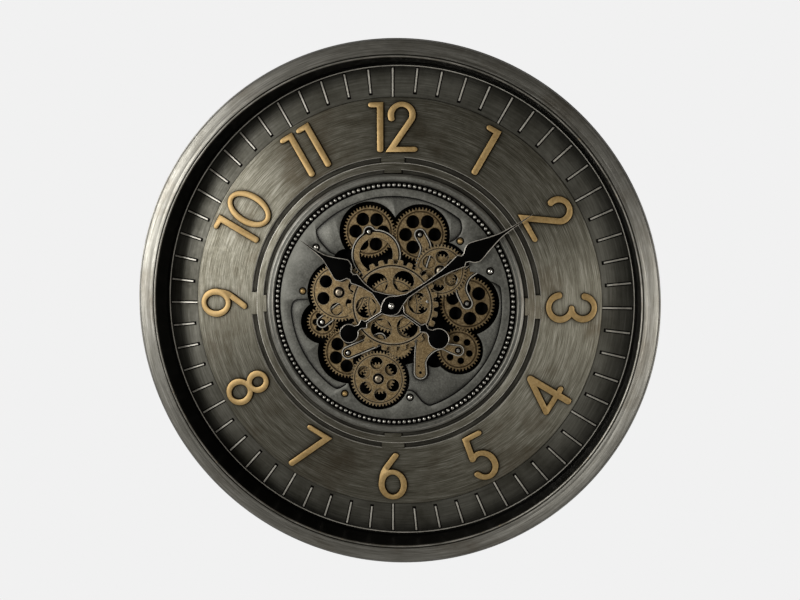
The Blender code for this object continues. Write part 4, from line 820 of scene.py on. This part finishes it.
def makeCentralWheel(form):
    shape = Shape()
    teeth = toothLoop(form["teeth"], form["outer"] * mm, form["root"] * mm, form["turn"], form["tooth"])
    back = form["back"] * mm
    front = form["front"] * mm
    bore = hoops(32, form["bore"] * mm)
    holes = sixHoles(form["holeCircle"] * mm, form["hole"] * mm, form["holeTurn"], 64) + bore
    addDisc(shape, teeth, [r * mm for r in form["discs"]], holes, back, front, form["bevels"],
            form["floorDrop"], steps=128)
    # The bead's sides take the black of painted shadow
    shape.plate(hoops(128, *[r * mm for r in form["bead"]]), back, front, form["beadBevel"] * mm,
                slots=(4, 1, 3))
    root = rootRadius("central")
    holes = sixHoles(root - form["fineHoleDeep"] * mm, form["fineHole"] * mm, form["fineTurn"]) + bore
    addDisc(shape, fineTeeth("central"), [root - deep * mm for deep in form["fineDiscs"]], holes,
            train["near"], train["near"] + train["thick"], form["fineBevels"], form["fineFloorDrop"])
    shape.turned(scaled(form["tube"]), 40, slots=4)
    dress("central_wheels", shape.mesh("central_wheels"), wheelForm["looks"], "central_gear",
          ["central_gear"])


for name, style in wheels.items():
    makeWheel(name, style)
makePinion("idler_gear", "idler")
makePinion("drive_pinion", "drive")
makeCentralWheel(centralWheel)
print("wheel train made")


# Plates, pillars, cocks and numerals

def unionOutline(discs, steps=96):
    # Outer outline of overlapping discs, each a centre and a radius
    pieces = []
    for center, radius in discs:
        others = [(c, r) for c, r in discs if c != center or r != radius]
        cuts = []
        for other, reach in others:
            line = other - center
            if abs(radius - reach) < line.length < radius + reach:
                share = (radius ** 2 + line.length ** 2 - reach ** 2) / (2 * radius * line.length)
                middle = math.degrees(math.atan2(line.y, line.x))
                spread = math.degrees(math.acos(share))
                cuts += [(middle - spread) % 360, (middle + spread) % 360]
        cuts = sorted(cuts)
        for start, end in zip(cuts, cuts[1:] + [cuts[0] + 360]):
            middle = center + polar(radius, (start + end) / 2)
            if all((middle - other).length > reach - 1e-9 for other, reach in others):
                pieces.append(arc(center, radius, start, end, max(2, round(steps * (end - start) / 360))))
    pieces.sort(key=lambda piece: -max(point.length for point in piece))
    loop = pieces.pop(0)
    while pieces and (loop[-1] - loop[0]).length > 1e-6:
        after = min(pieces, key=lambda piece: (piece[0] - loop[-1]).length)
        if (after[0] - loop[-1]).length > 1e-4:
            break
        pieces.remove(after)
        loop += after[1:]
    return loop[:-1]


def modified(data, kind, settings):
    # Mesh with a modifier on it; a mesh given as object becomes the modifier's other object
    made = [bpy.data.objects.new(data.name, data)]
    modifier = made[0].modifiers.new(kind, kind)
    for name, value in settings.items():
        if name == "object":
            made.append(bpy.data.objects.new("other", value))
            value = made[-1]
        setattr(modifier, name, value)
    for piece in made:
        bpy.context.scene.collection.objects.link(piece)
    graph = bpy.context.evaluated_depsgraph_get()
    result = bpy.data.meshes.new_from_object(made[0].evaluated_get(graph))
    for piece in made:
        bpy.data.objects.remove(piece)
    return result


def prism(loops, back, front):
    data = Shape().plate(loops, back, front, 0.0, 0.0, slots=(0, 0, 0)).mesh("prism")
    return modified(data, "WELD", {"merge_threshold": 1e-6})


def combined(data, operation, other):
    return modified(data, "BOOLEAN", {"operation": operation, "solver": "EXACT", "object": other})


def bevelled(data, width, looks):
    # Rounds the sharp edges and gives them the second look
    for material in looks:
        data.materials.append(material)
    data = modified(data, "BEVEL", {"width": width, "segments": 2, "limit_method": "ANGLE",
                                    "angle_limit": math.radians(50), "material": 1})
    data.materials.clear()
    return data


cover = {
    "radius": 136.88, "back": 39.5, "front": 41.0, "panelFloor": 39.8, "edge": 0.55, "rivetHole": 2.1,
    # The window: room round each wheel, reach past the upper right one, and discs (x, y, radius)
    "lobes": {"topLeft": 4.4, "topRight": 3.6, "upperRight": 3.6, "right": 5.4, "lowerRight": 3.2,
              "bottom": 3.6, "lowerLeft": 6.0, "lowerLeftSmall": 6.6, "left": 4.0},
    "reach": 3.6, "discs": ((-57, 51, 15), (50, -62, 12)),
    # Sunk panels: points, an arc round the centre (radius, start, end, steps), and points
    "panels": (
        (((-66, 52), (-88, 73)), (128.2, 137, 51, 30), ((82, 84), (64, 70))),
        (((-92, 6.4), (-112, 6.4), (-122, 4)), (124.8, 183, 234, 20), ((-66, -104), (-50, -92))),
        (((88, 27), (112, 31)), (128.4, 11, -70, 30),
         ((36, -117), (30, -110), (24, -102.5), (13, -103), (8, -92), (14, -80), (25, -45), (60, -10)))),
}
pillars = {
    "head": [(0, 43.7), (0.9, 43.66), (1.7, 43.45), (2.4, 43.05), (2.9, 42.5), (3.2, 41.9), (3.3, 41.3),
             (1.7, 41.3), (1.7, 39.2), (4.0, 39.2), (4.0, 26.3), (0, 26.3)],
    # The black ring under each head is painted shadow
    "collar": [(4.7, 41.05), (4.6, 41.25), (3.5, 41.25), (3.5, 41.05)],
    "spots": {"upper_left": (-92.2, 67.7, brightSteel), "left": (-109.1, 15.4, goldSatin),
              "lower_left": (-58.5, -107.9, goldSatin), "bottom": (20.6, -110.1, brightSteel),
              "right": (114.0, 41.0, brightSteel), "upper_right": (79.0, 75.6, goldSatin)},
}


def windowOutline():
    discs = [(center[wheel], outerRadius(wheel) + room * mm) for wheel, room in cover["lobes"].items()]
    discs.append((Vector((0, 0)), center["upperRight"].length + cover["reach"] * mm))
    return unionOutline(discs + [(Vector((x, y)) * mm, radius * mm) for x, y, radius in cover["discs"]])


def panelOutline(before, sweep, after):
    radius, start, end, steps = sweep
    loop = [Vector(spot) for spot in before] + arc((0, 0), radius, start, end, steps)
    return [point * mm for point in eased(loop + [Vector(spot) for spot in after], 0.25, 3)]


def makeCoverPlate():
    plate = Shape()
    window = windowOutline()
    back = cover["back"] * mm
    radius = cover["rivetHole"] * mm
    holes = [circle(Vector((x, y)) * mm, radius, 12) for x, y, _ in pillars["spots"].values()]
    plate.plate([circle((0, 0), cover["radius"] * mm, 240), window] + holes, back, cover["front"] * mm, 0, 0,
                slots=(0, 0, 0))
    border = modified(plate.mesh("border"), "WELD", {"merge_threshold": 1e-6})
    low = back - 1.5 * mm  # ends of the cutters, clear of both faces
    high = cover["front"] * mm + 2 * mm
    floors = []
    for panel in cover["panels"]:
        loop = panelOutline(*panel)
        border = combined(border, "DIFFERENCE", prism([loop], low, high))
        floors.append(combined(prism([loop], back, cover["panelFloor"] * mm), "DIFFERENCE",
                               prism([window], low, high)))
    for k, data in enumerate([border] + floors):
        looks = [panelMetal if k else plateMetal, edgeSilver]
        name = "cover_plate_face" if k == 0 else "cover_panel_{}".format(k)
        dress(name, bevelled(data, cover["edge"] * mm, looks), looks, "case",
              ["cover_plate"] if k == 0 else [], sharp=30)


def makePillars():
    for name, (x, y, look) in pillars["spots"].items():
        shape = Shape()
        shape.turned(scaled(pillars["head"]), 32, slots=0)
        shape.turned(scaled(pillars["collar"]), 32, slots=1)
        dress("pillar_{}_head".format(name), shape.mesh(name), [look, shadowBlack], "case",
              ["pillar_" + name], Vector((x, y)) * mm, sharp=40)


arms = {
    "looks": [agedBrass, edgeBrass, sideShadeBrass, shadowBlack, edgeSilver, brightSteel],
    "back": 38.0, "front": 39.2, "foot": 26.3, "width": 13.6,
    # The dark line inside the raised edge is painted shadow
    "rim": 1.25, "groove": 1.35,  # widths of the raised edge and of the dark line inside it
    "lineDeep": 0.5, "rimDeep": 0.6, "rimBevel": 0.42, "rimDrop": 0.35, "faceDrop": 0.05, "faceBevel": 0.3,
    "post": 3.0, "postInto": 0.2, "pivotHole": 2.6,
    "pivotRing": [(2.6, -0.35), (4.3, -0.35), (4.2, 0.02), (2.7, 0.02)],
}
# Each cock: its bends from the pivot, and its post's distance past the wheel and bearing
cocks = {
    "top_right_cock": {"wheel": "topRight", "bends": ((7, -16),), "past": 5, "bearing": -87.5},
    "right_cock": {"wheel": "right", "bends": ((-7, 17), (-2, 33)), "past": 11, "bearing": 77},
    "lower_left_small_cock": {"wheel": "lowerLeftSmall", "bends": (), "past": 8.5, "bearing": 38},
    "lower_left_cock": {"wheel": "lowerLeft", "bends": (), "past": 11.5, "bearing": 24, "width": 15.6},
}
bridge = {
    "middle": (28.3, -73),  # distance and bearing from the pivot
    "ends": (-62, 242), "outer": 29.5, "inner": 20.0, "face": 26.7, "rim": 1.3,
    "ear": 6.8, "earSpread": 16.5, "earHalf": 80, "posts": 24.75, "postInset": 8,
    "lineDeep": 0.45, "rimBevel": 0.4, "faceBevel": 0.35,
}


def addLayers(shape, bed, lip, face, form):
    # Flat arm: a black bed of painted shadow, a bright raised edge on it and a brass face inside the edge;
    # the bed shows as a dark line between them
    front = form["front"] * mm
    low = front - form["rimDeep"] * mm
    shape.plate(bed, form["back"] * mm, front - form["lineDeep"] * mm, slight, slots=(3, 3, 2))
    shape.plate(lip, low, front, form["rimBevel"] * mm, form["rimDrop"] * mm, slots=(4, 4, 3))
    shape.plate(face, low, front - form["faceDrop"] * mm, form["faceBevel"] * mm)


def addArm(shape, outline, pivot, form):
    outline = directed([outline])[0]
    rim = form["rim"] * mm
    hole = [circle(pivot, form["pivotHole"] * mm, 24)]
    face = inset(outline, rim + form["groove"] * mm)
    addLayers(shape, [outline] + hole, [outline, inset(outline, rim)], [face] + hole, form)


def addPost(shape, spot, form):
    low = form["foot"] * mm
    high = (form["back"] + form["postInto"]) * mm
    radius = form["post"] * mm
    shape.turned([(0, low), (radius, low), (radius, high), (0, high)], 24, spot, slots=2)


def finishArm(shape, node, mesh, pivot, form):
    # Ring of painted shadow round the pivot
    shape.turned(scaled(form["pivotRing"], form["front"] * mm), 28, pivot, slots=3)
    dress(node + "_arm", shape.mesh(mesh), form["looks"], "case", [node])


def makeCock(name, form):
    pivot = center[form["wheel"]]
    post = pivot + polar(outerRadius(form["wheel"]) + form["past"] * mm, form["bearing"])
    path = [pivot] + [pivot + Vector(bend) * mm for bend in form["bends"]] + [post]
    shape = Shape()
    addArm(shape, stroke(curved(path, 6) if len(path) > 2 else path, form["width"] * mm, 16), pivot, form)
    addPost(shape, post, form)
    finishArm(shape, name, name, pivot, form)


def makeBridge(form):
    pivot = center["topLeft"]
    middle = pivot + polar(form["middle"][0] * mm, form["middle"][1])
    first, last = form["ends"]
    ear = math.degrees(math.atan2((pivot - middle).y, (pivot - middle).x))
    radius = form["outer"] * mm
    outer = arc(middle, radius, first, ear - form["earSpread"], 40)
    outer += arc(pivot, form["ear"] * mm, ear - form["earHalf"], ear + form["earHalf"], 14)
    outer += arc(middle, radius, ear + form["earSpread"], last, 60)
    inner = arc(middle, form["inner"] * mm, last, first, 80)
    lip = list(outer)
    for point in reversed(outer):
        hub = middle if (point - middle).length < radius + 0.1 * mm else pivot
        lip.append(point + (hub - point).normalized() * form["rim"] * mm)
    face = arc(middle, form["face"] * mm, first, last, 90) + inner
    shape = Shape()
    addLayers(shape, [outer + inner, circle(pivot, form["pivotHole"] * mm, 24)], [lip], [face], form)
    for bearing in (first + form["postInset"], last - form["postInset"]):
        addPost(shape, middle + polar(form["posts"] * mm, bearing), form)
    finishArm(shape, "top_left_bridge", "bridge", pivot, form)


makeCoverPlate()
makePillars()
for name, cock in cocks.items():
    makeCock(name, {**arms, **cock})
makeBridge({**arms, **bridge})
print("plates, pillars and cocks made")


# Bracket, numerals, hands and works

bracket = {
    "back": 41.3, "front": 42.8, "rim": 1.1, "groove": 0.9, "head": 6.8, "headArc": (85, -110),
    "end": (17.0, 9.0), "endRadius": 8,  # from the bottom wheel's rim
    "neck": ((-7.4, 24.0), (-6.0, 40.0)),  # from the end
    # both from the pivot
    "arm": ((-10.5, -3.2), (-19.3, 0.4), (-27.0, -1.8), (-34.0, -8.0), (-37.6, -15.0)),
    "body": ((-43.5, 24.5), (-39.5, 27.0), (-35.5, 25.5), (-32.0, 19.0), (-30.0, 12.5), (-25.5, 8.6),
             (-11.0, 8.2)),
    "rivets": ((0, 0, 1.8), (-2, 8, 1.1)),  # from the end, and radius
}


def makeBracket(form):
    pivot = center["lowerRight"]
    ahead, up = form["end"]
    end = center["bottom"] + Vector((outerRadius("bottom") + ahead * mm, up * mm))
    outline = arc(pivot, form["head"] * mm, *form["headArc"], 16)
    outline += curved([pivot + Vector(point) * mm for point in form["arm"]], 5)
    outline += arc(end, form["endRadius"] * mm, 0, -180, 20)
    outline += [end + Vector(point) * mm for point in form["neck"]]
    outline += curved([pivot + Vector(point) * mm for point in form["body"]], 5)
    shape = Shape()
    addArm(shape, outline, pivot, form)
    # The rivets are flat discs in the black of painted shadow
    for x, y, radius in form["rivets"]:
        rivet = [(0, -0.1), (radius, -0.1), (radius, 0), (0, 0)]
        shape.turned(scaled(rivet, form["front"] * mm), 20, end + Vector((x, y)) * mm, slots=3)
    finishArm(shape, "lower_right_bracket", "bracket", pivot, form)


numerals = {
    "looks": [goldSatin, goldEdge], "tall": 57, "gap": 5.2,
    "upright": 7.1, "level": 5.6,  # widths of the upright strokes and of the level ones
    "thick": 2, "edge": 0.35, "back": 41.5, "band": (172.68, 241.2), "margin": 5.8,
    "widths": {"0": 38.0, "1": 17.5, "2": 34.0, "3": 35.0, "4": 38.5, "5": 34.0, "6": 34.3, "7": 32.0,
               "8": 32.6, "9": 34.3},
}


def digitStrokes(digit):
    # Centre lines and rings of a digit in a box one unit tall and one unit wide
    stem = curved([(0.13, 0.5), (-0.1, 0.335), (-0.354, 0.14), (-0.44, 0.02), (-0.475, -0.09)], 4)
    lines = {
        "1": ([(-0.5, 0.5), (0.5, 0.5), (0.5, -0.5)],),
        "2": (arc((-0.02, 0.266), (0.47, 0.234), 200, -25, 22)
              + [Vector((-0.5, -0.5)), Vector((0.53, -0.5))],),
        "3": (arc((0, 0.25), (0.47, 0.25), 175, -85, 22), arc((0, -0.245), (0.5, 0.255), 85, -175, 22)),
        "4": ([(0.27, 0.5), (0.27, -0.5)], [(0.25, 0.49), (-0.5, -0.207)], [(-0.49, -0.21), (0.5, -0.21)]),
        "5": ([(0.5, 0.5), (-0.15, 0.5), (-0.3, 0.05)], arc((0, -0.21), (0.5, 0.29), 128, -155, 24)),
        "6": (stem,),
        "7": ([(-0.5, 0.5), (0.5, 0.5), (-0.42, -0.5)],),
        "9": ([-point for point in stem],),
    }
    rings = {
        "6": (((0, -0.2), (0.5, 0.3)),),
        "9": (((0, 0.2), (0.5, 0.3)),),
        "8": (((0, 0.289), (0.393, 0.211)), ((0, -0.232), (0.5, 0.268))),
        "0": (((0, 0), (0.5, 0.5)),),
    }
    return lines.get(digit, ()), rings.get(digit, ())


def digitMesh(digit):
    # Drawn narrow with one line width and then widened, which leaves upright strokes thicker
    lines, rings = digitStrokes(digit)
    widen = numerals["upright"] / numerals["level"]
    wide = (numerals["widths"][digit] - numerals["upright"]) / widen
    box = Vector((wide, numerals["tall"] - numerals["level"])) * mm
    half = numerals["level"] / 2 * mm
    outlines = []
    for (x, y), (reachX, reachY) in rings:
        middle = (x * box.x, y * box.y)
        outlines.append([arc(middle, (reachX * box.x + side * half, reachY * box.y + side * half), 0, 354, 59)
                         for side in (1, -1)])
    for line in lines:
        outlines.append([stroke([(x * box.x, y * box.y) for x, y in line], 2 * half, 12)])
    data = None
    for k, loops in enumerate(outlines):
        lift = 0.03 * mm * k  # so that no two faces lie in one plane
        loops = [[Vector((p.x * widen, p.y)) for p in loop] for loop in loops]
        body = prism(loops, lift, numerals["thick"] * mm - lift)
        data = combined(data, "UNION", body) if data else body
    return bevelled(data, numerals["edge"] * mm, numerals["looks"])


def makeNumerals():
    inner, outer = numerals["band"]
    fit = (outer - inner - 2 * numerals["margin"]) / numerals["tall"]
    widths = numerals["widths"]
    gap = numerals["gap"]
    for hour in range(1, 13):
        bearing = 90 - 30 * hour
        turn = math.radians(bearing - 90 + (180 if 4 <= hour <= 8 else 0))
        spot = polar((outer + inner) / 2 * mm, bearing)
        place = Matrix.Translation((spot.x, spot.y, numerals["back"] * mm)) @ Matrix.Rotation(turn, 4, "Z")
        place = place @ Matrix.Diagonal((fit, fit, 1, 1))
        digits = str(hour)
        left = -(sum(widths[digit] for digit in digits) + gap * (len(digits) - 1)) / 2
        for k, digit in enumerate(digits):
            data = digitMesh(digit)
            data.transform(place @ Matrix.Translation(((left + widths[digit] / 2) * mm, 0, 0)))
            left += widths[digit] + gap
            node = "numeral_{:02d}_{}".format(hour, "ab"[k])
            dress(node + "_face", data, numerals["looks"], "case", [node], sharp=40)


# A blade's lengths count from the axis; core is the radius, back and front of the pin
hands = {
    "looks": [handLacquer, handEdge, handLacquer, brightSteel], "thick": 1.2, "bevel": 0.7, "drop": 0.4,
    "hour": {"bearing": 304.725, "back": 47.7, "core": (2.8, 20.2, 49.1),
             "blade": {"length": 134, "boss": 12.8, "tail": 67, "disc": 12.4, "leafEnd": 55,
                       "leafWidth": 6.8, "spadeWidth": 14.2}},
    "minute": {"bearing": 56.7, "back": 50.2, "core": (1.7, 15.2, 52.4),
               "blade": {"length": 197, "boss": 11.4, "tail": 61, "disc": 11.3, "leafEnd": 97,
                         "leafWidth": 8.0, "spadeWidth": 12.2}},
    "nut": [(0, 54.9), (1.1, 54.85), (2.0, 54.6), (2.6, 54.0), (2.7, 53.0), (3.4, 52.9), (3.4, 52.7),
            (0, 52.7)],
}


def handOutline(length, boss, tail, disc, leafEnd, leafWidth, spadeWidth, rod=1.6):
    # Right side from the tail disc to the tip, then its mirror image
    neck = -tail + disc
    half = [Vector((0, -tail - disc))]
    half += arc((0, -tail), disc, -72, 68, 22)
    side = [(rod * 1.9, neck + 4.0), (6.0, neck + 10.0), (rod * 1.25, neck + 13.2), (rod, neck + 16.0)]
    half += curved([half[-1]] + side, 4)[1:]
    bulb = [(rod, -boss * 1.6), (rod * 1.3, -boss * 1.3), (boss * 0.55, -boss * 0.95),
            (boss * 0.95, -boss * 0.35), (boss * 0.98, boss * 0.25), (boss * 0.62, boss * 0.95),
            (boss * 0.25, boss * 1.9)]
    half += curved(bulb, 5)
    leaf = [(rod * 1.2, leafEnd * 0.5), (leafWidth * 0.5, leafEnd * 0.78), (leafWidth, leafEnd)]
    half += curved(leaf, 5)
    half += curved([(leafWidth * 0.6, leafEnd + 3.2), (leafWidth * 0.72, leafEnd + 7.0)], 2)
    shoulder = leafEnd + 11.5
    widest = leafEnd + 17.0
    spade = [(spadeWidth * 0.84, shoulder), (spadeWidth, widest)]
    spade += [(spadeWidth * width, widest + share * (length - widest))
              for share, width in ((0.07, 0.93), (0.2, 0.65), (0.32, 0.42), (0.45, 0.21), (0.62, 0.12))]
    half += curved(spade, 4)
    half.append(Vector((0, length)))
    half = [Vector((max(0.0, point[0]), point[1])) * mm for point in half]
    return half + [Vector((-point.x, point.y)) for point in half[-2:0:-1]]


def makeHand(name, hand):
    turn = Matrix.Rotation(math.radians(-hand["bearing"]), 2)
    back = hand["back"] * mm
    shape = Shape()
    shape.plate([[turn @ point for point in handOutline(**hand["blade"])]], back, back + hands["thick"] * mm,
                hands["bevel"] * mm, hands["drop"] * mm)
    outer, low, top = (length * mm for length in hand["core"])
    shape.turned([(0, low), (outer, low), (outer, top - 0.3 * mm), (outer * 0.8, top), (0, top)], 28, slots=3)
    dress(name + "_blade", shape.mesh(name), hands["looks"], name, [name], sharp=30)


def makeNut():
    shape = Shape().turned(scaled(hands["nut"]), 32)
    dress("hand_nut_cap", shape.mesh("hand_nut"), [brightSteel], "minute_hand", ["hand_nut"])


# Hidden pieces keep their own meshes and only change material
works = {
    shadowBlack: ("back_plate",),
    darkSteel: ("rear_pan", "pan_skirt"),
    blackPlastic: ("clock_movement", "gear_drive", "clock_battery_door", "drive_battery_door", "set_knob",
                   "drive_switch"),
    cellWrap: ("clock_cell", "drive_cell_upper", "drive_cell_lower"),
}


def dressWorks():
    for material, names in works.items():
        for name in names:
            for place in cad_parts[name].material_slots:
                place.material = material


makeBracket({**arms, **bracket})
makeNumerals()
makeHand("hour_hand", hands["hour"])
makeHand("minute_hand", hands["minute"])
makeNut()
dressWorks()
print("numerals, hands and works made")


# Room, lights and camera, in metres

room = {
    "paper": (0.8796, 0.8796, 0.8796, 1), "matt": (0.6, 0.6, 0.6, 1),
    "floorSize": (3.6, 3.0, 1), "floorPlace": (0, -0.9, -0.75),
    "fill": (0.5, 0.48, 0.43, 1), "fillStrength": 0.2, "lit": (0, -0.03, 0),  # where the lamps aim
}
lights = {
    "key": {"place": (-1.35, -1.85, 0.24), "size": (0.6, 1.0), "power": 33, "color": (1.0, 0.99, 0.97)},
    "fill": {"place": (1.5, -1.75, -0.2), "size": (0.6, 0.8), "power": 15, "color": (1.0, 0.98, 0.95)},
}
view = {"target": (0.01373, -0.078, 0.00963), "side": 7.95, "rise": 5.38, "distance": 0.913,
        "lens": 36.25, "sensor": 36}


def splitByRay(tree, output, other, seen):
    # seen meets the camera, and other meets the rest of the light
    rays = addNode(tree, "LightPath").outputs["Is Camera Ray"]
    mix = addNode(tree, "MixShader", {0: rays, 1: other.outputs[0], 2: seen.outputs[0]})
    addNode(tree, output, {"Surface": mix.outputs[0]})


def makeRoom():
    bpy.ops.mesh.primitive_plane_add(size=1)
    floor = bpy.context.object
    floor.name = "floor"
    floor.scale = room["floorSize"]
    floor.location = room["floorPlace"]
    material = bpy.data.materials.new("paper")
    material.use_nodes = True
    tree = material.node_tree
    tree.nodes.clear()
    splitByRay(tree, "OutputMaterial", addNode(tree, "BsdfDiffuse", {"Color": room["matt"]}),
               addNode(tree, "Emission", {"Color": room["paper"], "Strength": 1.0}))
    floor.data.materials.append(material)
    world = bpy.data.worlds.new("studio")
    bpy.context.scene.world = world
    world.use_nodes = True
    tree = world.node_tree
    tree.nodes.clear()
    splitByRay(tree, "OutputWorld",
               addNode(tree, "Background", {"Color": room["fill"], "Strength": room["fillStrength"]}),
               addNode(tree, "Background", {"Color": room["paper"], "Strength": 1.0}))
    return floor


def makeLamp(name, light):
    data = bpy.data.lights.new(name, "AREA")
    data.shape = "RECTANGLE"
    data.size, data.size_y = light["size"]
    data.energy = light["power"]
    data.color = light["color"]
    lamp = bpy.data.objects.new(name, data)
    bpy.context.scene.collection.objects.link(lamp)
    lamp.location = light["place"]
    beam = Vector(room["lit"]) - Vector(light["place"])
    lamp.rotation_euler = beam.to_track_quat("-Z", "Y").to_euler()
    return lamp


def makeCamera():
    side = math.radians(view["side"])
    rise = math.radians(view["rise"])
    away = Vector((math.sin(side) * math.cos(rise), -math.cos(side) * math.cos(rise), math.sin(rise)))
    data = bpy.data.cameras.new("camera")
    data.lens = view["lens"]
    data.sensor_width = view["sensor"]
    camera = bpy.data.objects.new("camera", data)
    bpy.context.scene.collection.objects.link(camera)
    camera.location = Vector(view["target"]) + view["distance"] * away
    camera.rotation_euler = (-away).to_track_quat("-Z", "Y").to_euler()
    bpy.context.scene.camera = camera


floor = makeRoom()
lamps = [makeLamp(name, light) for name, light in lights.items()]
makeCamera()
bpy.context.scene.view_settings.view_transform = "Standard"
print("room, lights and camera made")

bpy.context.view_layer.update()
